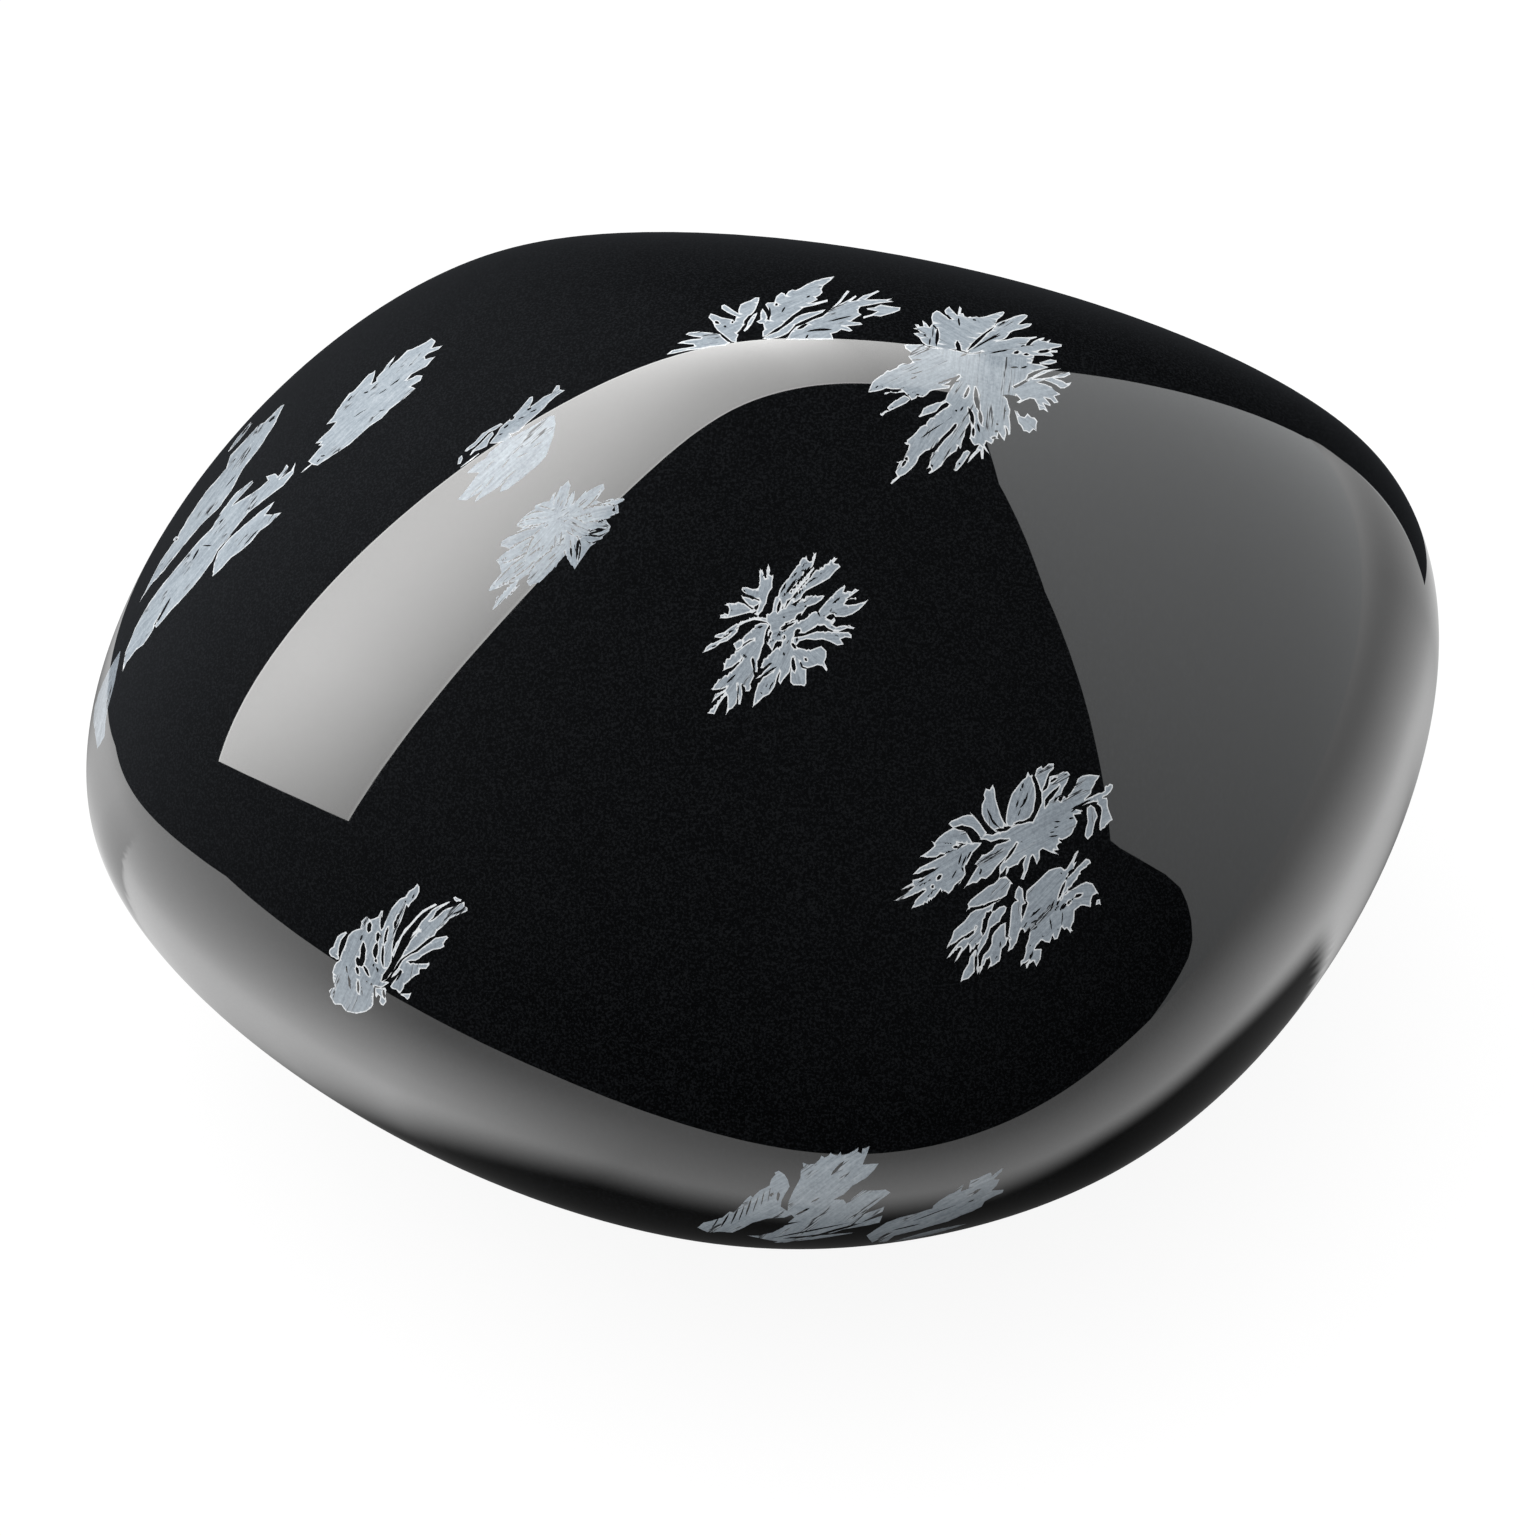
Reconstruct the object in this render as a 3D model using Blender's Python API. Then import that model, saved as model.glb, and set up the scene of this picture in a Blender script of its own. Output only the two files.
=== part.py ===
"""Snowflake obsidian: one tumbled, polished stone, in metres, +Z up.

The stone is 48.8 mm long (X), 40.6 mm wide (Y) and 31 mm thick (Z). It rests on the middle of its
underside, and the origin is the point of that surface under the middle of the stone's bounding box.

Its form follows how it was made. CORNERS are the corners of the rough chunk, and tumbling rounds
the chunk to a smooth convex pebble. A convex form is known by its reach in each direction, and here
the reach is a power mean of how far the corners stand out that way, plus an even skin. The point
whose outward normal is a given direction is the gradient of the reach, so a ball's points, each
taken as a direction, move straight to their places on the stone.
"""

import bmesh
import bpy
import numpy as np

MM = 0.001

# Corners of the rough chunk, in millimetres from its middle.
CORNERS = np.array([
    (18.5, 9.5, 1.0),  # right end, the stone's blunt nose
    (-20.5, 0.0, -1.5),  # left end
    (-5.0, 15.5, -1.5),  # back
    (0.0, -14.5, -1.5),  # front
    (-1.5, 2.5, 14.0),  # crown
    (1.0, 3.5, -9.0),  # underside
    (13.0, 3.0, 8.0),  # right shoulder
    (13.0, 11.5, -6.0),  # back right, low
    (11.0, -10.0, 0.0),  # front right
    (12.0, -3.5, -6.0),  # front right, low
    (-10.5, 15.0, 4.5),  # back left shoulder
    (-9.5, 6.0, -7.0),  # back left, low
    (-10.0, -4.5, 3.0),  # front left slope
    (-6.0, -7.0, -7.0),  # front left, low
])

# How strongly the corners still show: 2 would leave an ellipsoid, and a high power sharp corners.
POWER = 4
# Even layer over the rounded chunk, which sets the tightest bend.
SKIN = 3.0

# The underside is worn flat up to FLAT_DEPTH above where the round form would have ended, and the
# wear fades out over the next FLAT_BLEND.
FLAT_DEPTH = 0.35
FLAT_BLEND = 0.4

# 20 * 4 ** (5 - 1) = 5120 triangles.
BALL_SUBDIVISIONS = 5

GLASS_COLOUR = (0.006, 0.0065, 0.007, 1.0)
GLASS_ROUGHNESS = 0.08
GLASS_IOR = 1.49


def pebble_points(directions):
    """Points of the tumbled chunk whose outward normals are these unit directions, in mm."""
    stand_out = np.maximum(directions @ CORNERS.T, 0.0)
    total = (stand_out**POWER).sum(axis=1, keepdims=True)
    pull = stand_out ** (POWER - 1) * total ** (1.0 / POWER - 1.0)
    return pull @ CORNERS + SKIN * directions


def wear_flat(points, lowest):
    """Raises the lowest points to one level, and eases those just above into it."""
    half = FLAT_BLEND / 2
    level = lowest + FLAT_DEPTH + half
    above = points[:, 2] - level
    eased = (np.clip(above, -half, half) + half) ** 2 / (4 * half)
    worn = points.copy()
    worn[:, 2] = level + np.where(above > half, above, eased)
    return worn, level


def make_material():
    """Black volcanic glass with a polish."""
    material = bpy.data.materials.new("polished_obsidian")
    material.use_nodes = True
    shader = material.node_tree.nodes["Principled BSDF"]
    shader.inputs["Base Color"].default_value = GLASS_COLOUR
    shader.inputs["Roughness"].default_value = GLASS_ROUGHNESS
    shader.inputs["IOR"].default_value = GLASS_IOR
    shader.inputs["Metallic"].default_value = 0.0
    return material


def make_stone(collection):
    """The stone: a ball whose points go where the pebble has their direction as its normal."""
    ball = bmesh.new()
    bmesh.ops.create_icosphere(ball, subdivisions=BALL_SUBDIVISIONS, radius=1.0)
    directions = np.array([vertex.co for vertex in ball.verts], dtype=float)
    directions /= np.linalg.norm(directions, axis=1, keepdims=True)

    lowest = pebble_points(np.array([(0.0, 0.0, -1.0)]))[0, 2]
    points, level = wear_flat(pebble_points(directions), lowest)

    # The bounding box of the smooth form, from the points that face along X and Y.
    sides = np.array([(1.0, 0, 0), (-1.0, 0, 0), (0, 1.0, 0), (0, -1.0, 0)])
    right, left, back, front = pebble_points(sides)
    middle = np.array([(right[0] + left[0]) / 2, (back[1] + front[1]) / 2, level])

    for vertex, place in zip(ball.verts, (points - middle) * MM):
        vertex.co = place
    bmesh.ops.recalc_face_normals(ball, faces=ball.faces[:])

    mesh = bpy.data.meshes.new("stone")
    ball.to_mesh(mesh)
    ball.free()
    mesh.shade_smooth()
    mesh.materials.append(make_material())
    collection.objects.link(bpy.data.objects.new("stone", mesh))


def main():
    for old in list(bpy.data.objects):
        bpy.data.objects.remove(old, do_unlink=True)
    collection = bpy.data.collections.new("snowflake_obsidian")
    bpy.context.scene.collection.children.link(collection)
    make_stone(collection)


main()
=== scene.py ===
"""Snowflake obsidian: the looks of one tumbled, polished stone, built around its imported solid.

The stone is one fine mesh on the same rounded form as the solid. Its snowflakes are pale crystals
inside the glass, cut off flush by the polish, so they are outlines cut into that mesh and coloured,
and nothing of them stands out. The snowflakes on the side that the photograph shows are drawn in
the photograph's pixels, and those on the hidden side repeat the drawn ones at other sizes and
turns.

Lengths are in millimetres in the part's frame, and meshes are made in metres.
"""

import math

import bmesh
import bpy
import numpy as np
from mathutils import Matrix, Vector
from mathutils.bvhtree import BVHTree
from mathutils.geometry import delaunay_2d_cdt
from mathutils.kdtree import KDTree


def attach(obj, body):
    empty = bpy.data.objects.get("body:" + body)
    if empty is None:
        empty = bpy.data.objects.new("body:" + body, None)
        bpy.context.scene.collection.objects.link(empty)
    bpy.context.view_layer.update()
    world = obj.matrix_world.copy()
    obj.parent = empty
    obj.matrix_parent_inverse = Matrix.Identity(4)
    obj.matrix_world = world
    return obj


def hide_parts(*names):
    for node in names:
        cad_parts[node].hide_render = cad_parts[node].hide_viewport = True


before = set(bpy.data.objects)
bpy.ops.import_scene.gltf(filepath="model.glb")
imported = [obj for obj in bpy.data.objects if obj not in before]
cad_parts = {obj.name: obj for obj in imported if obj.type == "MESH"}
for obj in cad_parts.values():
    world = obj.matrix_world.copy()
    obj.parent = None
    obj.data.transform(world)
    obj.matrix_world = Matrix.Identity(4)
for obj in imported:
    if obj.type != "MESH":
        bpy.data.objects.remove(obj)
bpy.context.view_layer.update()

MM = 0.001

# The form, as in the solid: corners of the rough chunk, in millimetres from its middle.
CORNERS = np.array([
    (18.5, 9.5, 1.0),  # right end, the stone's blunt nose
    (-20.5, 0.0, -1.5),  # left end
    (-5.0, 15.5, -1.5),  # back
    (0.0, -14.5, -1.5),  # front
    (-1.5, 2.5, 14.0),  # crown
    (1.0, 3.5, -9.0),  # underside
    (13.0, 3.0, 8.0),  # right shoulder
    (13.0, 11.5, -6.0),  # back right, low
    (11.0, -10.0, 0.0),  # front right
    (12.0, -3.5, -6.0),  # front right, low
    (-10.5, 15.0, 4.5),  # back left shoulder
    (-9.5, 6.0, -7.0),  # back left, low
    (-10.0, -4.5, 3.0),  # front left slope
    (-6.0, -7.0, -7.0),  # front left, low
])
POWER = 4
SKIN = 3.0
FLAT_DEPTH = 0.35
FLAT_BLEND = 0.4

# The mesh: points spread evenly over all directions, and a ring round straight down.
EVEN_POINTS = 24000
RING_POINTS = 24
RING_ANGLE = math.radians(3.5)
# Coarser ball that a line is met with, to find the direction that the stone faces there.
FINDER_SUBDIVISIONS = 6

# The photograph: a square picture taken from 45 degrees above.
PHOTO_SIDE = 1536
SENSOR = 36.0
LENS = 100.0
PITCH = math.radians(45.0)
CAMERA_DISTANCE = 151.0
# Photograph pixels in a millimetre at the stone's middle. Every drawing on the stone is in pixels.
PIXELS_PER_MM = PHOTO_SIDE * LENS / SENSOR / CAMERA_DISTANCE

# Crystals, in photograph pixels: how long a step of an outline is, how far its middle places stray,
# and how wide the bright rim is.
OUTLINE_STEP = 4.5
STRAY = 0.2
RIM = 2.0
# How far a blade's sides stray, as a share of its half-width and in pixels more, and its least
# half-width.
SIDE_STRAY_SHARE = 0.03
SIDE_STRAY = 0.1
LEAST_HALF = 0.2
# A blade's width at its root, as a share of its widest, the part of its length that it takes to widen,
# and the part that it narrows over.
ROOT_SHARE = 0.25
WIDEN_SHARE = 0.5
NARROW_SHARE = 0.6
# How far apart the tips of a ragged end are, and the share of the end's width that they take.
TOOTH = 4.4
TEETH_SHARE = 0.92
# Barbs on the sides of a wide blade: their size as a share of its half-width, the most in pixels, the
# half-width that they start from, and how many steps of the outline they take.
BARB_SHARE = 0.2
BARB_MOST = 2.4
BARB_FROM = 4.5
BARB_EVERY = 5
# Dark gap round a blade where it lies on others, and the part of its length that has one.
GAP = 1.5
GAP_START, GAP_END = 0.2, 0.93
# Slits inside a blade: their widths, the length below which they shorten, and how wide a blade has
# them.
SLIT_WIDTHS = (0.9, 1.8)
SLIT_LENGTH = 30
SLIT_FROM = 10
# How a slit's width varies, and how bluntly it tapers to its ends.
SLIT_VARIES = (0.75, 1.15)
SLIT_TAPER = 3
# What shows where no crystal does. A slit narrower than VEIN_MOST pixels is a vein: as dark as the
# glass, but with no bright rims.
GLASS = -1
VEIN = -2
VEIN_MOST = 2.6
# Where along a step of an outline, and how far to each side of it in pixels, one looks to see whether
# anything changes there.
LOOK_SHARES = (0.1, 0.5, 0.9)
LOOK_ASIDE = 0.12
# How far apart the mesh's points are inside a crystal, in pixels.
CORE_STEP = 3.6
# How strong the rims are, and how pale a traced crystal is, where a drawing doesn't say.
USUAL_RIM = 1.0
USUAL_PALE = 0.5
# Range of the blades' tones.
BLADE_TONES = (0.15, 0.85)

# The snowflakes that the photograph shows, drawn in pixels right of and below the corner that is given
# in the photograph's pixels. A plate is a broad crystal: the x, y, x, y and so on of its outline, in
# order from its root. A blade is (root x, root y, tip x, tip y, width, end), and lies on the plates and
# on the blades before it. The end is one of these.
ROUND, POINTED, FORKED, RAGGED = 0, 1, 2, 3
# A fissure is a slit through the crystals, to the black glass: its places and then its width.
TRACED = {
    "middle": {"corner": (702, 553), "pale": 0.55, "plates": [
        [66, 11, 68, 17, 67, 22, 71, 22, 71, 25, 70, 29, 70, 35, 67, 39, 65, 44, 64, 50, 62, 53, 60, 58,
         57, 61, 52, 61, 56, 55, 57, 50, 57, 46, 47, 42, 41, 39, 39, 36, 40, 34, 45, 34, 50, 36, 56, 35,
         57, 30, 57, 18, 58, 16, 60, 17, 62, 24, 64, 24, 64, 17],
        [39, 42, 43, 44, 52, 46, 57, 48, 57, 51, 52, 54, 47, 53, 43, 49, 40, 45],
        [22, 52, 25, 50, 28, 50, 36, 49, 42, 51, 46, 54, 52, 56, 56, 55, 54, 58, 47, 60, 39, 62, 30, 64,
         24, 65, 17, 65, 18, 62, 22, 60, 26, 61, 27, 56, 26, 53],
        [65, 65, 56, 63, 47, 65, 39, 68, 30, 73, 23, 78, 17, 80, 13, 82, 12, 84, 19, 85, 24, 82, 30, 77,
         37, 73, 43, 70, 52, 67, 64, 68],
        [37, 74, 35, 79, 31, 83, 25, 88, 18, 90, 13, 94, 7, 97, 0, 100, 4, 94, 9, 90, 17, 87, 23, 84,
         28, 80, 34, 75],
        [67, 72, 64, 70, 58, 70, 53, 72, 49, 77, 43, 82, 38, 86, 31, 91, 34, 97, 41, 91, 47, 87, 52, 86,
         45, 90, 40, 94, 33, 98, 29, 102, 24, 106, 21, 110, 22, 113, 20, 118, 30, 114, 36, 109, 41, 104,
         38, 109, 32, 116, 23, 122, 16, 126, 9, 136, 11, 137, 19, 136, 24, 134, 29, 130, 23, 136, 19, 138,
         13, 141, 9, 150, 13, 146, 19, 141, 23, 139, 19, 143, 12, 152, 5, 160, 12, 161, 17, 151, 22, 144,
         25, 142, 25, 148, 25, 154, 23, 162, 25, 159, 27, 156, 30, 155, 34, 150, 35, 143, 35, 130,
         36, 134, 36, 151, 38, 151, 40, 141, 39, 131, 43, 134, 43, 138, 47, 138, 49, 135, 48, 131,
         50, 127, 52, 123, 51, 116, 49, 107, 50, 104, 52, 107, 53, 119, 55, 119, 55, 108, 58, 101, 61, 92,
         62, 86, 64, 77],
        [64, 60, 67, 61, 70, 58, 71, 50, 73, 44, 76, 42, 77, 37, 80, 32, 84, 27, 88, 22, 94, 13, 100, 5,
         104, 3, 105, 7, 107, 9, 110, 5, 111, 0, 114, 0, 113, 6, 111, 12, 108, 14, 102, 19, 96, 27,
         90, 35, 86, 42, 83, 48, 80, 54, 78, 61, 68, 72],
        [81, 51, 86, 41, 94, 32, 102, 24, 108, 17, 111, 14, 112, 16, 108, 21, 103, 28, 97, 35, 92, 41,
         85, 48, 81, 55],
        [83, 55, 89, 46, 94, 40, 100, 32, 107, 25, 114, 17, 122, 12, 128, 7, 132, 4, 135, 5, 131, 10,
         136, 11, 138, 14, 133, 18, 127, 25, 120, 29, 111, 34, 104, 38, 98, 45, 92, 50, 86, 55],
        [98, 47, 104, 43, 113, 42, 120, 42, 122, 43, 119, 47, 113, 51, 105, 54, 102, 58, 98, 62, 92, 66,
         83, 67, 79, 64, 79, 58, 83, 54, 92, 50],
        [64, 61, 79, 56, 92, 50, 100, 46, 102, 52, 100, 58, 96, 64, 90, 67, 83, 70, 79, 74, 75, 80,
         72, 84, 70, 88, 67, 93, 65, 91, 64, 87, 66, 77, 68, 73, 64, 69],
        [72, 84, 78, 75, 88, 69, 95, 66, 97, 70, 93, 77, 92, 83, 89, 88, 81, 88, 73, 90, 70, 98, 67, 93],
        [117, 57, 122, 51, 128, 44, 134, 38, 142, 32, 143, 34, 141, 39, 145, 38, 153, 36, 157, 37,
         150, 42, 144, 46, 153, 44, 154, 46, 147, 50, 145, 52, 153, 51, 160, 49, 166, 46, 163, 50,
         157, 56, 150, 61, 142, 64, 133, 64, 131, 61, 127, 62, 121, 66, 114, 68, 111, 62],
        [119, 59, 111, 58, 103, 60, 98, 67, 94, 72, 92, 78, 94, 79, 102, 80, 109, 76, 115, 72, 122, 71,
         129, 74, 126, 67],
        [113, 68, 125, 66, 132, 65, 133, 68, 129, 70, 130, 72, 138, 73, 147, 72, 152, 74, 151, 76,
         145, 75, 138, 78, 131, 78, 125, 75, 122, 72, 115, 72, 107, 76],
        [91, 84, 100, 83, 109, 80, 115, 78, 126, 78, 136, 79, 146, 79, 149, 82, 149, 85, 143, 84, 138, 86,
         141, 91, 135, 92, 127, 88, 120, 86, 113, 87, 104, 86, 97, 88, 94, 92, 89, 90],
        [88, 86, 94, 93, 102, 96, 111, 96, 119, 93, 124, 98, 124, 104, 122, 109, 125, 116, 124, 118,
         120, 113, 115, 112, 110, 114, 105, 115, 100, 113, 99, 109, 94, 106, 89, 101],
        [93, 102, 98, 109, 100, 114, 104, 116, 104, 130, 102, 133, 99, 132, 91, 132, 88, 129, 88, 119,
         89, 111, 91, 107],
        [81, 88, 73, 96, 66, 102, 61, 106, 58, 115, 62, 114, 68, 109, 70, 110, 62, 118, 53, 126, 62, 123,
         71, 117, 75, 113, 71, 118, 61, 124, 56, 130, 53, 139, 50, 154, 56, 149, 61, 144, 67, 141,
         72, 134, 76, 121, 78, 118, 76, 128, 78, 131, 81, 126, 87, 119, 90, 109, 92, 101, 91, 93, 86, 86],
    ], "fissures": [
        (39, 40, 56, 46, 2.2), (78, 41, 84, 29, 1.9), (80, 44, 84, 39, 1.9), (89, 25, 95, 19, 1.9),
        (99, 14, 104, 9, 1.6), (75, 60, 78, 47, 3.5), (90, 45, 101, 35, 2.5), (102, 32, 114, 24, 1.9),
        (93, 29, 101, 22, 2.2), (98, 18, 110, 14, 2.2), (83, 41, 94, 26, 2.5), (94, 45, 96, 42, 1.6),
        (110, 26, 115, 24, 1.4), (118, 21, 119, 19, 1.3), (88, 52, 97, 49, 2.5), (80, 64, 83, 64, 1.9),
        (93, 67, 99, 60, 4.1), (98, 67, 107, 59, 4.8), (100, 61, 117, 55, 4.1), (102, 53, 104, 52, 1.6),
        (106, 57, 115, 54, 2.2), (130, 51, 138, 44, 1.9), (142, 51, 153, 46, 4.8),
        (127, 58, 130, 55, 1.3), (114, 56, 118, 64, 1.9), (129, 59, 135, 60, 1.4),
        (106, 79, 115, 75, 2.9), (113, 77, 124, 76, 3.8), (118, 73, 112, 75, 1.3),
        (129, 74, 130, 73, 1.9), (145, 73, 147, 73, 1.3), (132, 81, 138, 84, 1.3), (78, 77, 93, 69, 2.9),
        (75, 84, 78, 77, 1.9), (70, 77, 66, 84, 65, 90, 2.9), (73, 84, 79, 80, 1.9),
        (80, 85, 84, 83, 2.9), (79, 79, 86, 76, 1.6), (72, 93, 80, 89, 5.4), (68, 89, 71, 86, 1.9),
        (89, 89, 94, 96, 3.2), (94, 89, 95, 84, 1.9), (92, 81, 98, 76, 4.8), (98, 91, 116, 91, 1.9),
        (95, 94, 119, 93, 3.5), (81, 99, 82, 103, 2.2), (90, 104, 92, 119, 4.8),
        (102, 105, 105, 108, 3.2), (98, 108, 100, 115, 2.2), (75, 113, 58, 124, 2.2),
        (70, 109, 61, 115, 2.2), (64, 139, 73, 126, 1.4), (60, 141, 58, 139, 1.6),
        (62, 136, 66, 129, 1.4), (52, 75, 61, 73, 1.9), (62, 90, 60, 101, 3.5), (67, 94, 64, 102, 3.8),
        (58, 101, 56, 119, 1.9), (51, 104, 52, 123, 2.5), (44, 102, 43, 105, 1.9),
        (24, 130, 34, 121, 1.9), (43, 100, 40, 105, 1.6), (36, 131, 35, 147, 1.6),
        (41, 130, 39, 134, 1.6), (25, 80, 32, 76, 2.2), (9, 94, 14, 92, 1.6), (21, 84, 25, 80, 1.3),
        (29, 58, 30, 56, 1.6), (41, 37, 43, 38, 1.9), (60, 24, 61, 21, 1.3),
    ]},
    "right_upper": {"corner": (893, 763), "plates": [
        [86, 88, 81, 83, 73, 69, 68, 65, 63, 64, 58, 65, 51, 69, 45, 74, 41, 79, 38, 77, 41, 82, 34, 88,
         26, 93, 34, 94, 43, 93, 51, 90, 63, 86, 68, 81, 63, 79, 70, 80, 79, 81],
        [93, 69, 90, 65, 86, 59, 81, 53, 76, 48, 78, 51, 73, 51, 69, 52, 63, 55, 58, 57, 55, 60, 59, 64,
         68, 64, 74, 65, 81, 69, 86, 74, 88, 76],
        [88, 79, 81, 79, 73, 80, 67, 83, 60, 86, 51, 91, 43, 95, 34, 100, 26, 104, 19, 111, 25, 110,
         31, 107, 45, 104, 40, 108, 29, 114, 19, 116, 19, 119, 13, 122, 7, 126, 13, 124, 21, 122, 19, 124,
         11, 130, 0, 137, 6, 137, 15, 133, 24, 129, 32, 126, 29, 129, 22, 136, 18, 145, 25, 142, 34, 139,
         41, 133, 47, 125, 49, 131, 51, 127, 55, 130, 59, 126, 61, 122, 68, 116, 64, 122, 67, 119,
         72, 110, 71, 103, 73, 101, 79, 89, 86, 82],
        [102, 68, 96, 63, 91, 57, 88, 50, 88, 41, 91, 35, 90, 31, 92, 25, 96, 26, 99, 21, 101, 26,
         102, 35, 105, 45, 107, 52, 110, 58, 114, 62, 107, 66],
        [113, 63, 112, 57, 113, 48, 115, 39, 118, 30, 124, 22, 129, 16, 132, 14, 134, 8, 136, 12, 139, 11,
         139, 17, 143, 24, 143, 33, 143, 39, 140, 47, 136, 54, 131, 57, 124, 59, 118, 63],
        [86, 76, 92, 70, 99, 71, 107, 68, 113, 67, 118, 63, 127, 59, 139, 58, 143, 50, 148, 39, 148, 29,
         143, 19, 141, 12, 143, 5, 148, 2, 149, 5, 155, 0, 160, 0, 160, 5, 156, 9, 153, 16, 150, 25,
         155, 19, 156, 13, 164, 11, 169, 8, 174, 8, 176, 11, 173, 19, 169, 25, 167, 33, 164, 36, 167, 38,
         170, 32, 173, 35, 177, 29, 182, 21, 184, 15, 189, 12, 196, 11, 206, 12, 199, 24, 197, 30,
         191, 36, 199, 32, 207, 29, 207, 32, 199, 34, 189, 39, 179, 45, 189, 47, 187, 50, 180, 51,
         182, 55, 184, 58, 179, 68, 177, 71, 169, 76, 165, 76, 168, 79, 163, 82, 165, 86, 160, 87,
         165, 91, 158, 89, 149, 85, 146, 87, 146, 95, 143, 101, 141, 95, 139, 91, 136, 97, 134, 106,
         130, 116, 127, 115, 130, 107, 129, 100, 132, 92, 127, 96, 124, 101, 118, 103, 115, 107, 112, 112,
         113, 103, 106, 112, 106, 103, 113, 93, 103, 103, 98, 110, 92, 115, 88, 114, 83, 119, 75, 121,
         70, 125, 74, 119, 79, 110, 84, 102, 81, 100, 87, 93, 93, 87, 99, 83, 108, 79, 113, 78, 116, 76,
         106, 75, 97, 78, 93, 76],
        [193, 44, 197, 41, 201, 44, 204, 53, 201, 60, 199, 71, 194, 76, 191, 72, 192, 65, 194, 58,
         193, 50],
        [177, 46, 186, 41, 194, 36, 199, 32, 205, 29, 207, 29, 208, 29, 211, 27, 211, 23, 212, 22,
         214, 22, 216, 20, 219, 21, 219, 24, 217, 28, 214, 31, 210, 33, 209, 34, 213, 34, 214, 37,
         214, 42, 215, 46, 218, 54, 219, 56, 213, 61, 211, 64, 207, 67, 206, 66, 206, 60, 207, 55,
         208, 47, 207, 43, 203, 40, 204, 38, 199, 38, 194, 40, 188, 42, 181, 47, 177, 50],
    ], "fissures": [
        (60, 64, 75, 65, 87, 75, 5.7), (50, 79, 60, 80, 1.5), (59, 83, 65, 83, 2.7),
        (63, 86, 69, 80, 1.9), (51, 90, 63, 86, 1.7), (93, 44, 99, 58, 107, 65, 2.3),
        (101, 66, 115, 66, 3.4), (120, 60, 135, 58, 2.7), (130, 19, 126, 30, 1.7),
        (126, 33, 122, 44, 1.7), (134, 30, 131, 38, 127, 44, 2.1), (127, 45, 124, 53, 1.5),
        (141, 12, 144, 25, 144, 39, 139, 57, 4.9), (155, 19, 149, 28, 3), (156, 19, 163, 14, 2.7),
        (166, 22, 154, 36, 151, 44, 4.2), (164, 33, 160, 38, 2.3), (174, 32, 173, 34, 2.7),
        (177, 46, 197, 36, 2.3), (177, 49, 187, 41, 1.9), (160, 58, 167, 58, 1.7),
        (160, 64, 165, 63, 1.5), (155, 73, 165, 72, 1.7), (175, 55, 180, 54, 1.9),
        (156, 69, 161, 68, 1.5), (89, 81, 102, 79, 116, 76, 3.4), (85, 88, 93, 83, 2.7),
        (88, 91, 101, 82, 4.6), (111, 98, 124, 79, 2.7), (126, 79, 130, 77, 1.5), (101, 91, 105, 87, 1.5),
        (88, 105, 85, 112, 1.9), (68, 89, 65, 101, 1.9), (73, 91, 68, 103, 1.9), (78, 87, 73, 96, 1.7),
        (68, 103, 70, 108, 1.9), (46, 103, 27, 114, 2.3), (22, 124, 38, 116, 1.7),
        (43, 116, 48, 111, 3.8), (40, 121, 38, 124, 3.4), (58, 115, 63, 106, 1.7),
        (31, 135, 43, 125, 1.9), (24, 119, 34, 114, 1.5), (50, 126, 48, 131, 1.9),
        (141, 101, 143, 103, 2.3), (179, 47, 197, 37, 1.4),
    ]},
    "right_lower": {"corner": (946, 850), "plates": [
        [51, 29, 53, 27, 60, 26, 66, 33, 63, 36, 60, 44, 54, 48, 51, 49, 44, 53, 38, 55, 34, 56, 27, 57,
         23, 58, 19, 61, 22, 56, 21, 53, 24, 49, 33, 42, 42, 35, 47, 33],
        [54, 49, 50, 53, 47, 56, 45, 61, 42, 61, 39, 63, 38, 68, 37, 73, 36, 85, 34, 86, 33, 82, 30, 75,
         28, 79, 23, 83, 15, 87, 10, 91, 4, 94, 0, 98, 1, 94, 5, 87, 7, 80, 12, 75, 18, 70, 24, 62,
         29, 59, 35, 58, 42, 55, 50, 51],
        [28, 79, 26, 81, 21, 85, 13, 91, 6, 99, 0, 108, 3, 106, 7, 102, 14, 96, 15, 97, 12, 102, 8, 111,
         10, 110, 14, 104, 18, 98, 23, 94, 23, 102, 24, 101, 27, 98, 30, 94, 33, 92, 36, 86, 33, 75,
         31, 75],
        [58, 55, 60, 57, 59, 61, 55, 66, 53, 71, 49, 74, 45, 78, 44, 82, 42, 87, 41, 94, 39, 99, 37, 102,
         33, 105, 32, 109, 32, 116, 35, 114, 33, 120, 31, 124, 30, 118, 30, 112, 29, 106, 28, 101, 30, 98,
         32, 94, 35, 89, 38, 79, 41, 71, 44, 64, 48, 60, 53, 56],
        [28, 99, 23, 106, 22, 112, 17, 120, 15, 127, 14, 131, 22, 128, 28, 121, 28, 110, 28, 103],
        [60, 71, 60, 76, 59, 86, 62, 87, 59, 94, 55, 98, 54, 106, 53, 110, 47, 114, 41, 118, 44, 111,
         43, 106, 41, 108, 38, 113, 36, 117, 33, 123, 35, 110, 37, 104, 42, 99, 45, 93, 45, 86, 48, 81,
         54, 74],
        [68, 47, 69, 40, 72, 35, 76, 38, 77, 44, 78, 49, 79, 52, 75, 55, 76, 62, 75, 69, 74, 79, 72, 84,
         70, 92, 66, 98, 61, 101, 63, 94, 62, 89, 64, 88, 61, 85, 63, 75, 64, 62, 65, 55, 68, 51, 71, 50],
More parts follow.
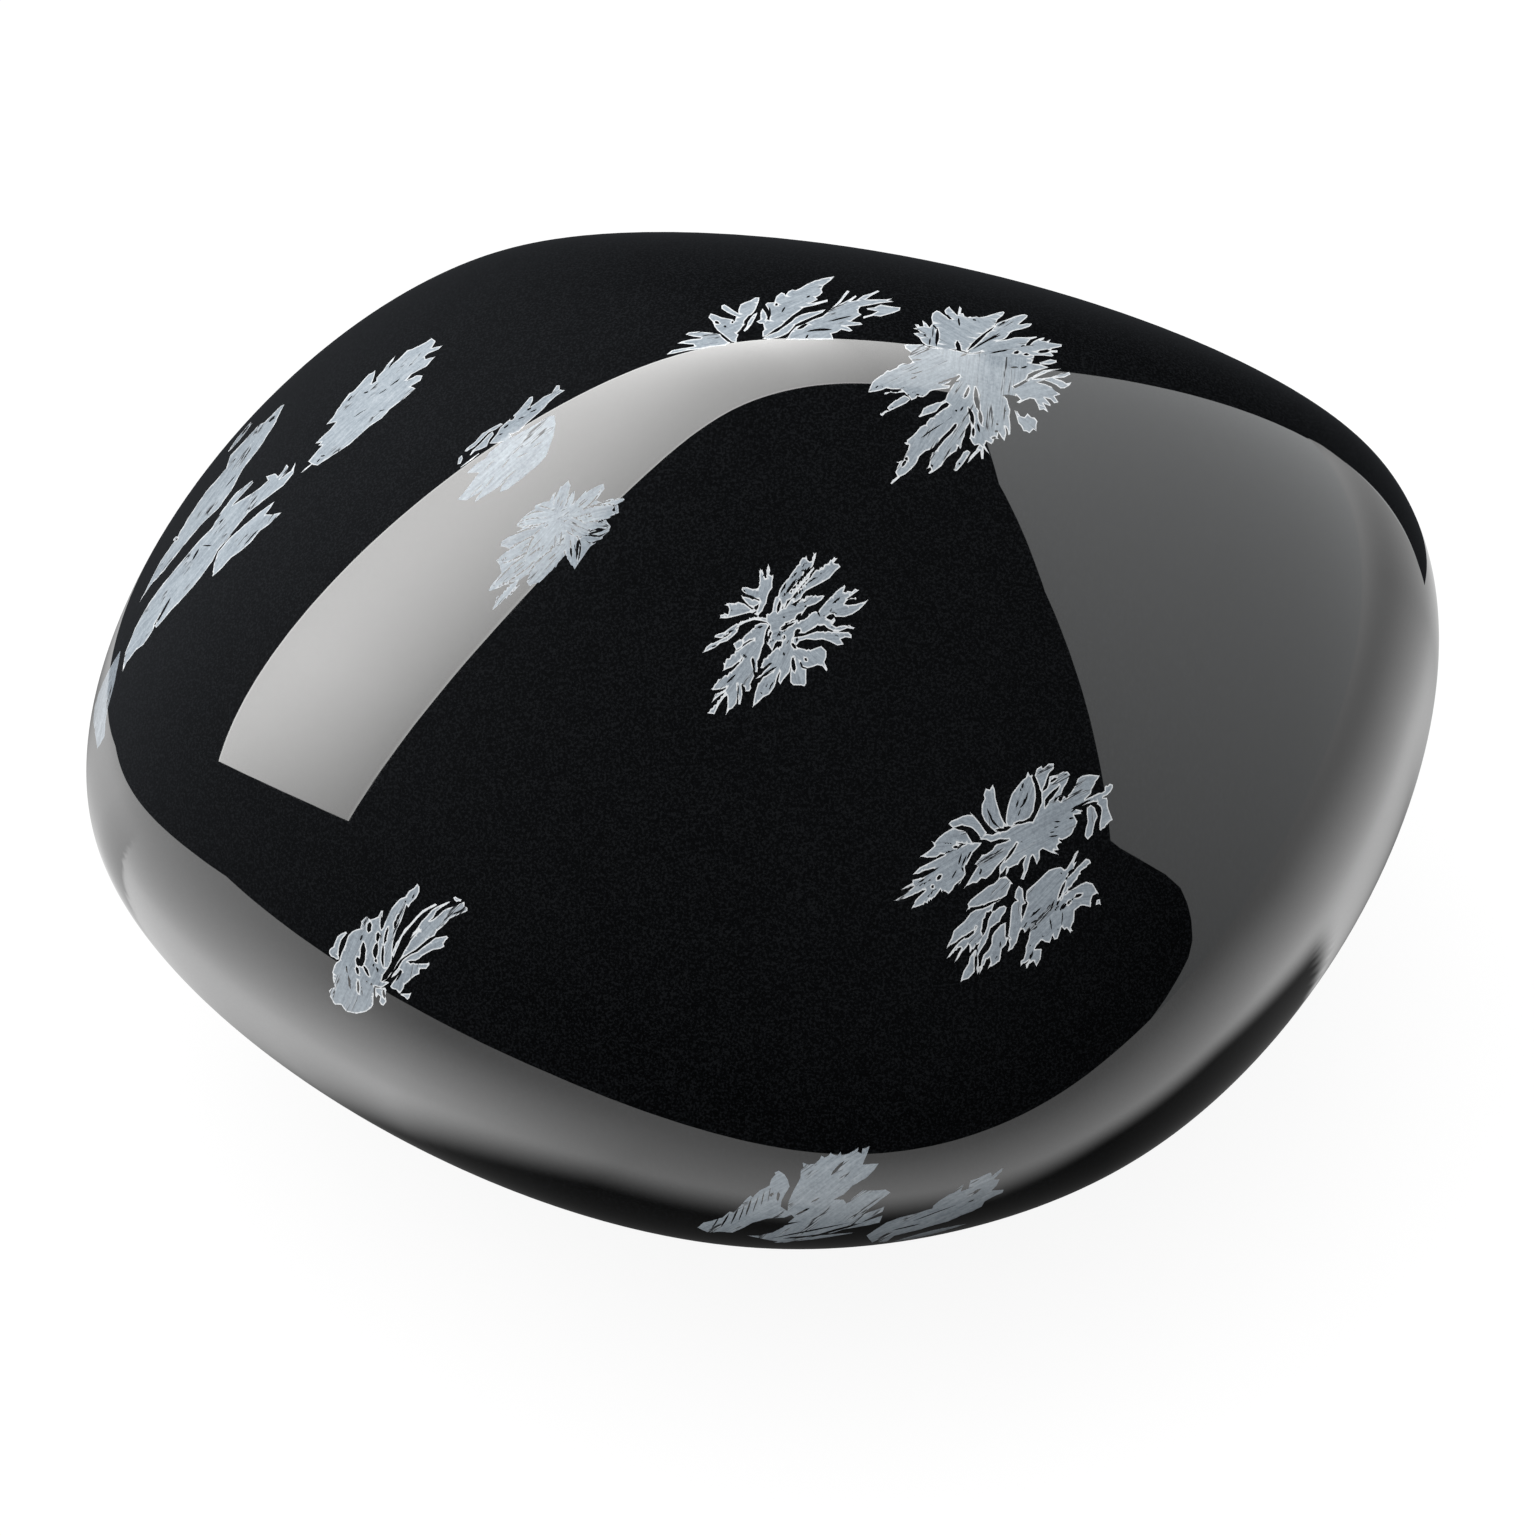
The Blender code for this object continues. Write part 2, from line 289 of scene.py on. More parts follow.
        [81, 52, 79, 49, 80, 40, 83, 37, 91, 30, 94, 27, 102, 19, 108, 17, 114, 16, 118, 19, 120, 18,
         125, 10, 128, 3, 131, 0, 132, 0, 130, 5, 127, 13, 130, 11, 127, 18, 123, 21, 120, 27, 124, 25,
         130, 17, 139, 8, 139, 15, 134, 19, 134, 23, 130, 29, 125, 35, 117, 44, 114, 49, 120, 45, 125, 41,
         130, 36, 139, 31, 139, 54, 134, 55, 128, 60, 127, 71, 124, 77, 126, 80, 124, 82, 120, 77,
         118, 79, 115, 76, 113, 82, 111, 88, 108, 89, 106, 85, 105, 88, 103, 92, 98, 91, 95, 89, 91, 93,
         88, 98, 95, 98, 94, 108, 90, 116, 87, 110, 83, 113, 80, 118, 79, 114, 83, 109, 74, 115, 74, 110,
         77, 108, 79, 101, 79, 96, 82, 88, 83, 82, 83, 78, 78, 82, 77, 79, 74, 79, 75, 72, 77, 64, 80, 55],
        [121, 27, 134, 14, 140, 8, 143, 9, 144, 12, 140, 16, 134, 20, 129, 29, 121, 38],
        [115, 46, 124, 39, 134, 33, 140, 31, 146, 33, 149, 38, 152, 43, 147, 44, 145, 47, 144, 56,
         139, 55, 134, 54, 124, 58],
        [150, 49, 153, 48, 154, 54, 149, 54],
    ], "fissures": [
        (23, 58, 38, 56, 51, 49, 3.4), (41, 54, 45, 52, 1.1), (51, 51, 46, 60, 3.2),
        (41, 63, 38, 74, 36, 85, 5.3), (53, 71, 45, 78, 42, 92, 33, 105, 33, 116, 4.5),
        (54, 48, 68, 49, 5.3), (53, 51, 60, 53, 2.1), (60, 67, 60, 86, 2.6), (61, 75, 60, 88, 3.4),
        (54, 91, 53, 97, 1.6), (48, 108, 51, 106, 1.6), (29, 92, 31, 102, 1.9), (30, 102, 30, 117, 1.9),
        (29, 79, 18, 88, 3.4), (78, 53, 76, 67, 4), (78, 37, 78, 51, 2.9), (83, 67, 95, 56, 1.9),
        (84, 73, 91, 69, 1.6), (88, 74, 90, 73, 1.9), (87, 79, 91, 75, 1.6), (95, 65, 97, 63, 1.6),
        (83, 82, 83, 77, 1.9), (119, 30, 111, 49, 2.6), (121, 26, 119, 29, 2.1), (127, 18, 121, 23, 2.1),
        (130, 13, 127, 18, 1.2), (114, 23, 115, 22, 2.1), (108, 49, 103, 61, 1.6),
        (113, 49, 109, 56, 1.9), (118, 52, 113, 59, 2.1), (120, 53, 114, 60, 1.9),
        (125, 49, 120, 54, 2.9), (135, 43, 128, 46, 3.4), (112, 55, 108, 61, 1.6), (99, 60, 104, 53, 1.1),
        (103, 67, 105, 79, 1.6), (116, 62, 115, 74, 1.2), (112, 78, 111, 79, 1.6), (98, 86, 95, 85, 1.2),
        (86, 101, 83, 109, 2.4), (83, 97, 84, 94, 1.2), (81, 71, 76, 78, 1.3), (106, 85, 105, 89, 1.3),
        (128, 47, 136, 43, 3.1), (123, 51, 128, 47, 1.3),
    ]},
    "crown": {"corner": (868, 306), "pale": 0.75, "plates": [
        [0, 85, 2, 80, 4, 76, 7, 73, 10, 71, 13, 69, 16, 67, 19, 64, 23, 64, 27, 62, 30, 59, 34, 57,
         42, 57, 44, 55, 40, 50, 43, 46, 40, 44, 37, 42, 36, 38, 42, 38, 54, 38, 62, 41, 73, 42, 82, 43,
         92, 45, 92, 68, 86, 71, 82, 75, 75, 79, 82, 79, 81, 82, 73, 83, 66, 84, 62, 85, 60, 87, 58, 89,
         55, 91, 52, 91, 49, 90, 48, 92, 43, 94, 42, 92, 40, 90, 38, 88, 36, 86, 34, 86, 27, 87, 22, 86,
         18, 88, 16, 88, 17, 86, 22, 85, 27, 86, 31, 85, 34, 84, 32, 83, 23, 83, 22, 82, 18, 82, 13, 84,
         8, 85, 2, 86, 0, 86],
        [12, 107, 13, 107, 18, 104, 21, 104, 19, 102, 19, 101, 22, 98, 27, 94, 32, 91, 36, 89, 40, 91,
         42, 93, 41, 94, 38, 97, 32, 100, 27, 102, 23, 104, 21, 105, 17, 107, 14, 110, 12, 109],
        [98, 46, 93, 44, 92, 39, 91, 37, 89, 39, 88, 43, 78, 43, 69, 41, 67, 41, 58, 39, 54, 36, 51, 31,
         45, 27, 52, 26, 49, 23, 45, 22, 49, 21, 46, 18, 50, 18, 51, 20, 55, 20, 54, 14, 58, 17, 61, 21,
         64, 17, 63, 11, 64, 7, 68, 4, 71, 5, 75, 8, 78, 10, 81, 13, 84, 13, 81, 10, 77, 7, 76, 4, 78, 2,
         81, 0, 82, 2, 86, 6, 89, 9, 90, 4, 91, 0, 93, 2, 92, 7, 95, 7, 96, 10, 99, 11, 102, 10, 103, 11,
         108, 10, 110, 11, 117, 10, 123, 8, 130, 6, 135, 5, 136, 6, 134, 9, 129, 13, 126, 20, 121, 23,
         116, 27, 111, 33, 108, 37, 103, 43],
        [99, 46, 109, 36, 117, 28, 123, 24, 126, 20, 128, 17, 133, 15, 136, 14, 141, 12, 146, 10, 153, 8,
         156, 8, 159, 9, 158, 11, 152, 16, 150, 18, 153, 18, 158, 17, 163, 17, 163, 18, 161, 20, 152, 23,
         146, 24, 142, 26, 138, 31, 135, 33, 130, 34, 126, 37, 121, 40, 116, 43, 111, 46, 104, 47],
        [111, 47, 117, 41, 123, 38, 130, 34, 139, 33, 146, 31, 158, 31, 168, 30, 168, 31, 162, 33,
         159, 36, 157, 39, 161, 39, 165, 35, 169, 33, 171, 32, 176, 31, 175, 33, 172, 34, 178, 35,
         182, 33, 180, 36, 186, 37, 193, 38, 193, 40, 189, 41, 184, 42, 182, 44, 189, 44, 189, 46,
         182, 46, 185, 49, 184, 50, 176, 49, 166, 49, 165, 52, 158, 53, 146, 51, 135, 50, 123, 50,
         113, 48],
        [111, 47, 123, 49, 135, 50, 146, 51, 156, 52, 165, 53, 163, 57, 172, 58, 180, 61, 173, 63,
         166, 65, 160, 68, 158, 73, 151, 77, 145, 80, 148, 86, 148, 90, 135, 89, 139, 93, 140, 98,
         142, 104, 141, 111, 142, 121, 142, 128, 140, 129, 139, 123, 137, 120, 138, 127, 136, 135,
         133, 131, 130, 126, 129, 131, 131, 133, 126, 132, 125, 136, 123, 138, 118, 135, 116, 139,
         121, 148, 117, 144, 115, 141, 115, 153, 113, 153, 112, 144, 106, 150, 99, 157, 102, 150,
         108, 143, 111, 138, 106, 139, 104, 137, 102, 133, 98, 131, 92, 128, 88, 117, 83, 98, 82, 83,
         88, 74, 92, 70, 68, 41, 78, 43, 88, 44, 99, 47],
        [82, 83, 79, 88, 77, 93, 72, 96, 69, 96, 64, 98, 58, 100, 55, 102, 53, 107, 50, 110, 51, 111,
         57, 109, 64, 107, 68, 105, 73, 99, 78, 96, 81, 98, 75, 103, 68, 108, 62, 112, 56, 119, 52, 121,
         48, 126, 44, 130, 39, 134, 36, 137, 38, 139, 41, 139, 39, 145, 36, 151, 35, 154, 28, 156,
         29, 157, 31, 157, 29, 161, 27, 166, 29, 170, 24, 174, 22, 177, 23, 178, 28, 174, 32, 170,
         37, 168, 43, 163, 48, 157, 51, 150, 57, 145, 64, 142, 68, 139, 73, 132, 81, 124, 86, 118,
         89, 116, 88, 121, 83, 127, 76, 134, 70, 141, 64, 147, 62, 153, 61, 158, 58, 163, 62, 161,
         63, 163, 60, 167, 61, 168, 66, 165, 73, 160, 78, 152, 84, 147, 88, 145, 90, 140, 92, 143,
         95, 137, 98, 131, 99, 125, 102, 119, 104, 110, 105, 96, 104, 84, 99, 77, 92, 74],
        [145, 82, 152, 78, 158, 74, 163, 73, 170, 72, 182, 71, 193, 67, 201, 66, 202, 68, 196, 71,
         186, 72, 193, 74, 198, 77, 203, 76, 201, 79, 196, 82, 192, 82, 188, 79, 182, 76, 176, 74,
         169, 76, 177, 78, 184, 81, 189, 86, 192, 88, 186, 90, 190, 96, 186, 97, 182, 93, 176, 91,
         182, 98, 182, 100, 177, 98, 175, 97, 179, 104, 180, 106, 175, 103, 171, 104, 169, 98, 166, 93,
         162, 92, 156, 94, 151, 97, 148, 96, 152, 93, 149, 90, 146, 86],
        [146, 104, 149, 105, 152, 110, 156, 111, 159, 107, 163, 111, 166, 111, 169, 115, 168, 119,
         168, 125, 165, 123, 164, 124, 161, 127, 158, 125, 155, 125, 153, 120, 150, 117, 148, 110],
        [158, 73, 168, 68, 175, 64, 182, 63, 193, 62, 186, 64, 179, 66, 170, 70, 162, 74],
        [171, 56, 182, 53, 188, 54, 188, 56, 182, 58, 172, 58],
        [85, 164, 87, 160, 88, 156, 92, 151, 95, 146, 99, 144, 102, 146, 99, 151, 95, 157, 92, 161,
         88, 165],
    ], "fissures": [
        (69, 21, 69, 37, 3.2), (64, 18, 69, 23, 2.1), (68, 24, 68, 40, 2.5), (90, 11, 91, 20, 2.5),
        (89, 34, 89, 43, 3.5), (78, 8, 82, 12, 2.1), (104, 13, 108, 14, 1.8), (62, 31, 61, 39, 1.8),
        (65, 20, 64, 31, 1.4), (55, 28, 58, 29, 2.1), (99, 44, 121, 23, 3.5), (104, 43, 132, 26, 2.1),
        (115, 36, 133, 28, 1.6), (129, 20, 135, 16, 1.6), (133, 17, 137, 15, 2.1),
        (121, 47, 141, 43, 2.1), (145, 47, 151, 45, 3.2), (152, 40, 157, 39, 1.4),
        (155, 48, 161, 48, 2.8), (169, 46, 182, 44, 3.5), (107, 80, 108, 93, 111, 105, 4.6),
        (111, 103, 113, 119, 3.9), (100, 101, 103, 108, 105, 119, 4.2), (102, 116, 99, 131, 93, 145, 6),
        (105, 121, 105, 131, 3.2), (101, 80, 96, 92, 3.2), (109, 117, 111, 126, 2.5),
        (84, 110, 52, 132, 1.6), (88, 103, 88, 106, 2.5), (95, 100, 92, 105, 1.8),
        (37, 154, 39, 151, 3.5), (33, 161, 38, 154, 2.8), (63, 158, 64, 161, 2.1),
        (145, 82, 150, 79, 160, 74, 2.5), (133, 89, 148, 90, 1.9), (158, 72, 166, 67, 175, 63, 2.8),
        (182, 78, 189, 86, 2.1), (70, 77, 78, 74, 90, 70, 2.1), (83, 79, 88, 74, 2.1),
        (142, 61, 150, 61, 2.1), (152, 62, 159, 60, 2.1), (92, 50, 99, 47, 2.1),
        (126, 125, 130, 125, 2.5), (128, 117, 130, 119, 2.5), (123, 132, 128, 131, 2.8),
        (136, 104, 138, 105, 2.1), (90, 157, 92, 158, 2.5), (42, 54, 54, 53, 1.4), (34, 58, 42, 57, 1.2),
        (42, 67, 47, 67, 55, 64, 1.2), (42, 73, 49, 70, 1.6), (7, 82, 10, 79, 1.6), (13, 81, 15, 80, 1),
        (30, 83, 36, 81, 1.2), (69, 77, 75, 76, 1.7), (75, 79, 80, 77, 1.2), (83, 74, 90, 69, 1.2),
        (86, 76, 92, 74, 1), (39, 88, 41, 89, 1.9), (44, 86, 45, 86, 1.6), (47, 89, 51, 88, 1.7),
        (53, 89, 55, 89, 1.2), (23, 101, 25, 101, 1.4),
    ]},
    "top": {"corner": (666, 276), "pale": 0.7, "plates": [
        [0, 78, 5, 74, 15, 72, 28, 70, 27, 68, 17, 67, 11, 67, 15, 65, 24, 63, 34, 62, 35, 61, 27, 60,
         19, 58, 22, 56, 33, 55, 41, 56, 50, 57, 55, 58, 60, 62, 64, 66, 58, 69, 46, 70, 36, 72, 20, 74,
         7, 77],
        [42, 41, 44, 37, 48, 38, 55, 41, 66, 43, 68, 45, 70, 40, 65, 38, 61, 36, 55, 32, 55, 29, 58, 28,
         63, 31, 67, 34, 72, 37, 72, 33, 74, 28, 78, 26, 84, 24, 89, 21, 93, 21, 92, 26, 89, 33, 87, 36,
         82, 41, 79, 47, 76, 50, 74, 53, 70, 57, 72, 58, 70, 62, 70, 66, 65, 65, 60, 61, 55, 57, 51, 54,
         48, 50, 46, 45],
        [77, 54, 80, 50, 82, 44, 87, 38, 91, 36, 89, 41, 85, 48, 81, 53, 78, 55],
        [90, 45, 94, 43, 94, 36, 96, 32, 99, 36, 101, 41, 98, 47, 93, 47],
        [99, 28, 101, 26, 108, 26, 110, 20, 115, 16, 118, 17, 119, 19, 122, 15, 126, 13, 129, 14, 135, 11,
         140, 8, 149, 4, 156, 2, 168, 0, 164, 4, 157, 9, 155, 13, 156, 16, 153, 19, 149, 21, 151, 23,
         143, 27, 149, 26, 161, 23, 161, 25, 147, 29, 137, 31, 132, 35, 126, 39, 119, 45, 115, 49,
         108, 53, 103, 57, 99, 60, 96, 60, 96, 55, 98, 53, 96, 45, 101, 43, 103, 44, 104, 38, 102, 33],
        [96, 62, 103, 58, 111, 55, 118, 50, 125, 45, 129, 41, 135, 38, 142, 36, 150, 35, 159, 33, 156, 36,
         149, 39, 142, 42, 135, 45, 129, 48, 125, 53, 122, 56, 119, 58, 112, 61, 103, 63],
        [120, 63, 125, 55, 130, 50, 139, 47, 147, 43, 156, 40, 161, 36, 166, 31, 173, 24, 178, 17,
         181, 14, 183, 15, 178, 21, 174, 26, 168, 31, 175, 27, 183, 23, 189, 19, 190, 20, 184, 25,
         190, 24, 197, 19, 204, 17, 211, 14, 213, 15, 205, 19, 199, 23, 208, 23, 219, 23, 226, 22,
         221, 24, 227, 25, 219, 26, 211, 27, 201, 29, 194, 30, 192, 33, 192, 36, 195, 38, 187, 43,
         184, 45, 194, 46, 196, 48, 188, 49, 178, 50, 181, 50, 186, 54, 183, 55, 175, 53, 170, 56,
         165, 57, 167, 63, 140, 63],
        [200, 32, 208, 31, 214, 28, 219, 29, 225, 30, 234, 31, 233, 34, 228, 36, 221, 38, 214, 40,
         207, 39, 197, 42, 197, 40, 205, 38, 211, 35, 207, 34, 201, 33],
    ], "fissures": [
        (48, 45, 53, 47, 3), (85, 38, 77, 48, 3.4), (103, 30, 104, 40, 2.1), (109, 27, 111, 29, 3),
        (115, 36, 119, 30, 2.1), (130, 53, 142, 47, 3), (140, 55, 151, 53, 166, 53, 2.5),
        (161, 45, 187, 39, 1.7), (139, 62, 142, 58, 2.1), (140, 21, 144, 19, 1.7), (65, 45, 67, 46, 3),
        (57, 50, 60, 50, 2.5), (53, 57, 64, 66, 3),
    ]},
    "upper_left": {"corner": (300, 338), "rim": 0.8, "pale": 0.95, "plates": [
        [8, 123, 13, 117, 18, 111, 22, 107, 18, 107, 21, 104, 15, 105, 20, 100, 29, 92, 36, 84, 33, 84,
         26, 86, 34, 77, 37, 71, 43, 63, 49, 55, 53, 53, 61, 44, 68, 36, 75, 32, 74, 37, 71, 46, 76, 43,
         76, 40, 79, 36, 83, 32, 87, 26, 95, 17, 90, 28, 98, 21, 107, 12, 117, 8, 123, 5, 131, 0, 135, 3,
         131, 10, 142, 7, 138, 11, 128, 15, 124, 18, 125, 21, 135, 18, 131, 22, 126, 28, 118, 32, 111, 36,
         106, 42, 116, 37, 122, 37, 120, 42, 110, 48, 115, 50, 104, 60, 89, 71, 81, 80, 69, 88, 59, 97,
         49, 106, 40, 112, 28, 120, 17, 127, 12, 126],
    ], "blades": [
        (12, 125, 0, 135, 1.3, 1),
    ], "fissures": [
        (88, 30, 93, 22, 1.5), (63, 55, 68, 53, 1.6), (89, 48, 100, 40, 1.2), (78, 56, 87, 50, 0.9),
        (47, 63, 52, 57, 1.2), (53, 79, 68, 69, 0.9), (20, 118, 25, 117, 1.5), (16, 124, 20, 120, 1.2),
        (78, 73, 85, 71, 1),
    ]},
    "strip_upper": {"corner": (457, 385), "rim": 0.7, "pale": 0.6, "plates": [
        [32, 58, 39, 49, 43, 42, 51, 35, 56, 30, 63, 23, 72, 12, 75, 11, 75, 15, 72, 22, 76, 19, 85, 12,
         94, 8, 99, 0, 102, 0, 102, 4, 107, 5, 99, 10, 91, 17, 85, 24, 77, 31, 68, 39, 61, 46, 54, 49,
         52, 48, 54, 51, 48, 56, 38, 58],
        [7, 66, 9, 63, 17, 57, 25, 48, 35, 42, 43, 38, 45, 39, 38, 44, 31, 47, 24, 54, 17, 61, 9, 66],
        [12, 70, 15, 65, 23, 58, 31, 49, 35, 46, 36, 49, 32, 54, 29, 61, 23, 64, 17, 66, 13, 70],
        [0, 79, 1, 73, 4, 70, 5, 73, 3, 78],
    ], "blades": [
        (3, 82, 23, 67, 1.4, 1),
    ], "fissures": [
        (69, 25, 74, 22, 2), (72, 27, 79, 24, 1.4), (52, 35, 57, 31, 2.6), (46, 43, 51, 39, 1.8),
        (60, 34, 67, 31, 1.2), (41, 50, 45, 48, 1.3),
    ]},
    "strip_lower": {"corner": (457, 415), "rim": 0.35, "plates": [
        [0, 84, 9, 74, 17, 63, 22, 57, 9, 58, 17, 50, 28, 43, 32, 37, 43, 28, 54, 22, 65, 16, 78, 9,
         91, 1, 97, 0, 98, 8, 96, 20, 92, 31, 88, 41, 81, 49, 69, 59, 59, 67, 50, 74, 42, 77, 44, 71,
         52, 62, 45, 68, 36, 75, 28, 80, 17, 87, 19, 83, 26, 74, 17, 80, 9, 85, 3, 85],
    ], "fissures": [
        (26, 74, 38, 59, 1), (43, 54, 52, 43, 1.2), (54, 40, 63, 31, 1), (58, 43, 71, 37, 1),
        (74, 33, 86, 25, 1), (42, 69, 59, 54, 1.2), (11, 82, 26, 68, 1), (26, 56, 38, 43, 0.9),
    ]},
    "strip_inner": {"corner": (488, 479), "rim": 0.42, "plates": [
        [0, 111, 5, 103, 13, 94, 11, 86, 8, 82, 15, 78, 25, 73, 18, 68, 12, 67, 13, 63, 21, 60, 28, 53,
         34, 49, 28, 46, 33, 40, 38, 35, 46, 30, 47, 26, 55, 23, 61, 22, 64, 16, 71, 9, 78, 4, 79, 0,
         82, 6, 81, 13, 83, 23, 91, 19, 101, 11, 115, 4, 116, 10, 107, 21, 113, 23, 123, 19, 135, 19,
         134, 22, 129, 24, 130, 34, 117, 40, 122, 47, 120, 52, 114, 57, 114, 59, 102, 67, 95, 77, 86, 90,
         78, 75, 61, 90, 49, 102, 41, 107, 38, 103, 42, 94, 35, 98, 27, 102, 21, 103, 10, 109, 1, 112],
        [4, 131, 8, 118, 14, 114, 22, 110, 32, 105, 22, 117, 13, 123],
    ], "blades": [
        (67, 34, 80, 1, 12.7, 1), (79, 29, 86, 11, 5.5, 1), (81, 34, 115, 5, 11.7, 1),
        (74, 40, 136, 20, 5.5, 0), (81, 40, 130, 30, 14.3, 2), (91, 46, 122, 47, 8.7, 1),
        (96, 56, 121, 51, 6.5, 1), (93, 60, 114, 59, 6.5, 1), (81, 46, 86, 90, 16.3, 1),
        (71, 40, 99, 54, 14.8, 0), (69, 36, 46, 28, 5.7, 0), (65, 34, 34, 38, 6.5, 1),
        (65, 40, 28, 45, 5.7, 2), (65, 46, 12, 65, 8.7, 0), (67, 50, 9, 83, 10.7, 2),
        (61, 64, 1, 111, 10.7, 1), (77, 66, 40, 104, 15.3, 0), (32, 98, 4, 130, 6.1, 1),
        (71, 42, 36, 86, 21.3, 1),
    ], "fissures": [
        (56, 65, 39, 78, 1.7), (82, 47, 85, 54, 1.3), (82, 67, 83, 79, 3), (90, 59, 88, 82, 3),
        (99, 55, 117, 50, 2.6), (95, 56, 113, 57, 2), (73, 52, 71, 67, 1.4), (100, 34, 74, 42, 0.9),
        (42, 94, 36, 103, 1.2), (60, 44, 57, 48, 1.4), (67, 52, 66, 70, 0.9),
    ]},
    "lower_left": {"corner": (329, 883), "plates": [
        [0, 67, 1, 65, 4, 63, 6, 58, 8, 53, 12, 50, 17, 48, 18, 50, 15, 53, 14, 59, 12, 62, 11, 67, 9, 72,
         10, 76, 7, 76, 5, 74, 2, 73, 0, 70],
        [27, 130, 22, 129, 17, 128, 14, 124, 12, 121, 6, 121, 4, 119, 1, 113, 0, 107, 3, 104, 6, 104,
         4, 97, 3, 89, 5, 82, 7, 79, 10, 77, 13, 68, 16, 61, 19, 52, 23, 48, 27, 46, 31, 45, 32, 38,
         36, 34, 38, 33, 41, 36, 45, 35, 49, 33, 52, 27, 54, 27, 53, 32, 52, 38, 52, 46, 54, 44, 57, 34,
         61, 26, 67, 19, 71, 15, 76, 13, 80, 7, 85, 4, 88, 0, 90, 3, 90, 8, 87, 14, 84, 17, 81, 20,
         79, 24, 77, 21, 75, 28, 72, 37, 68, 45, 67, 47, 64, 58, 63, 68, 62, 78, 59, 84, 54, 91, 52, 98,
         58, 98, 60, 99, 57, 101, 54, 103, 52, 104, 49, 103, 45, 102, 45, 107, 44, 114, 44, 121, 42, 124,
         37, 128, 33, 129],
        [46, 104, 49, 104, 52, 104, 56, 104, 57, 106, 56, 112, 57, 118, 54, 122, 52, 121, 50, 118,
         51, 113, 49, 111, 47, 114, 46, 112],
        [62, 72, 64, 66, 67, 59, 71, 53, 75, 46, 81, 40, 87, 33, 93, 27, 100, 23, 106, 20, 108, 21,
         105, 23, 99, 26, 93, 30, 88, 35, 82, 42, 77, 48, 73, 53, 70, 60, 67, 67, 64, 74],
        [81, 55, 84, 49, 89, 43, 92, 38, 97, 33, 102, 27, 106, 24, 112, 21, 119, 18, 121, 18, 117, 21,
         112, 24, 107, 28, 104, 34, 99, 39, 94, 43, 89, 48, 84, 52],
        [52, 98, 58, 95, 61, 91, 65, 85, 68, 79, 72, 73, 75, 67, 79, 61, 81, 57, 85, 52, 91, 46, 98, 39,
         105, 35, 110, 31, 115, 26, 120, 24, 127, 22, 132, 19, 135, 18, 135, 22, 138, 24, 138, 27,
         136, 28, 131, 30, 126, 32, 120, 35, 118, 38, 113, 43, 107, 48, 105, 52, 98, 56, 92, 61, 86, 66,
         81, 69, 75, 73, 71, 76, 67, 82, 64, 87, 60, 91, 58, 95, 54, 98],
        [75, 75, 81, 71, 88, 68, 94, 63, 100, 59, 106, 54, 112, 53, 117, 52, 119, 54, 116, 57, 114, 60,
         115, 63, 111, 65, 104, 66, 98, 69, 93, 72, 90, 75, 86, 77, 81, 77, 78, 78, 75, 82, 71, 85,
         67, 91, 62, 94, 63, 92, 67, 87, 70, 82, 73, 77],
        [79, 78, 81, 80, 84, 79, 86, 80, 91, 80, 97, 80, 100, 79, 100, 81, 97, 85, 91, 85, 90, 87, 90, 90,
         86, 92, 82, 95, 79, 98, 75, 101, 74, 105, 71, 109, 71, 111, 68, 108, 67, 106, 63, 105, 61, 103,
         64, 98, 68, 93, 73, 88, 71, 86, 67, 91, 62, 94, 64, 90, 69, 84, 74, 80],
        [71, 110, 75, 110, 80, 110, 82, 109, 81, 111, 80, 114, 78, 116, 75, 113, 72, 112],
        [124, 14, 126, 13, 129, 15, 132, 16, 131, 18, 127, 18, 125, 16],
    ], "fissures": [
        (17, 50, 12, 62, 10, 73, 4), (41, 38, 39, 49, 4.8), (33, 51, 31, 57, 2.1),
        (34, 58, 34, 66, 33, 82, 5.3), (28, 73, 29, 83, 4.8), (31, 77, 32, 83, 5.8),
        (27, 83, 29, 91, 2.9), (34, 82, 37, 87, 40, 93, 2.9), (49, 48, 48, 59, 3.4),
        (48, 58, 46, 68, 46, 76, 4.5), (46, 75, 47, 79, 2.6), (52, 32, 52, 46, 2.6),
        (52, 49, 51, 59, 1.1), (59, 43, 57, 50, 55, 61, 2.9), (54, 61, 53, 75, 54, 84, 2.9),
        (44, 80, 44, 83, 1.9), (47, 83, 49, 89, 1.9), (70, 30, 67, 37, 2.6), (67, 36, 65, 45, 2.9),
        (76, 17, 76, 19, 1.9), (85, 10, 83, 15, 1.9), (17, 82, 18, 90, 1.6), (19, 91, 21, 106, 2.4),
        (29, 96, 29, 110, 2.6), (32, 100, 33, 113, 1.1), (37, 97, 38, 99, 1.6), (42, 99, 42, 102, 1.6),
        (45, 103, 45, 113, 1.6), (54, 106, 55, 115, 2.6), (105, 34, 110, 30, 1.9),
        (118, 32, 120, 32, 1.9), (122, 31, 135, 25, 1.9), (120, 23, 113, 27, 1.1), (66, 98, 73, 88, 1.9),
        (58, 99, 63, 94, 1.3),
    ]},
    "bottom": {"corner": (697, 1145), "rim": 0.36, "pale": 0.8, "plates": [
        [0, 82, 6, 77, 15, 75, 25, 72, 32, 66, 36, 67, 43, 60, 48, 54, 53, 50, 55, 52, 62, 45, 72, 40,
         74, 33, 78, 29, 77, 27, 81, 25, 87, 29, 90, 34, 92, 41, 87, 49, 84, 55, 83, 61, 89, 65, 97, 68,
         87, 72, 69, 73, 55, 77, 46, 82, 35, 87, 23, 86, 11, 87, 4, 84],
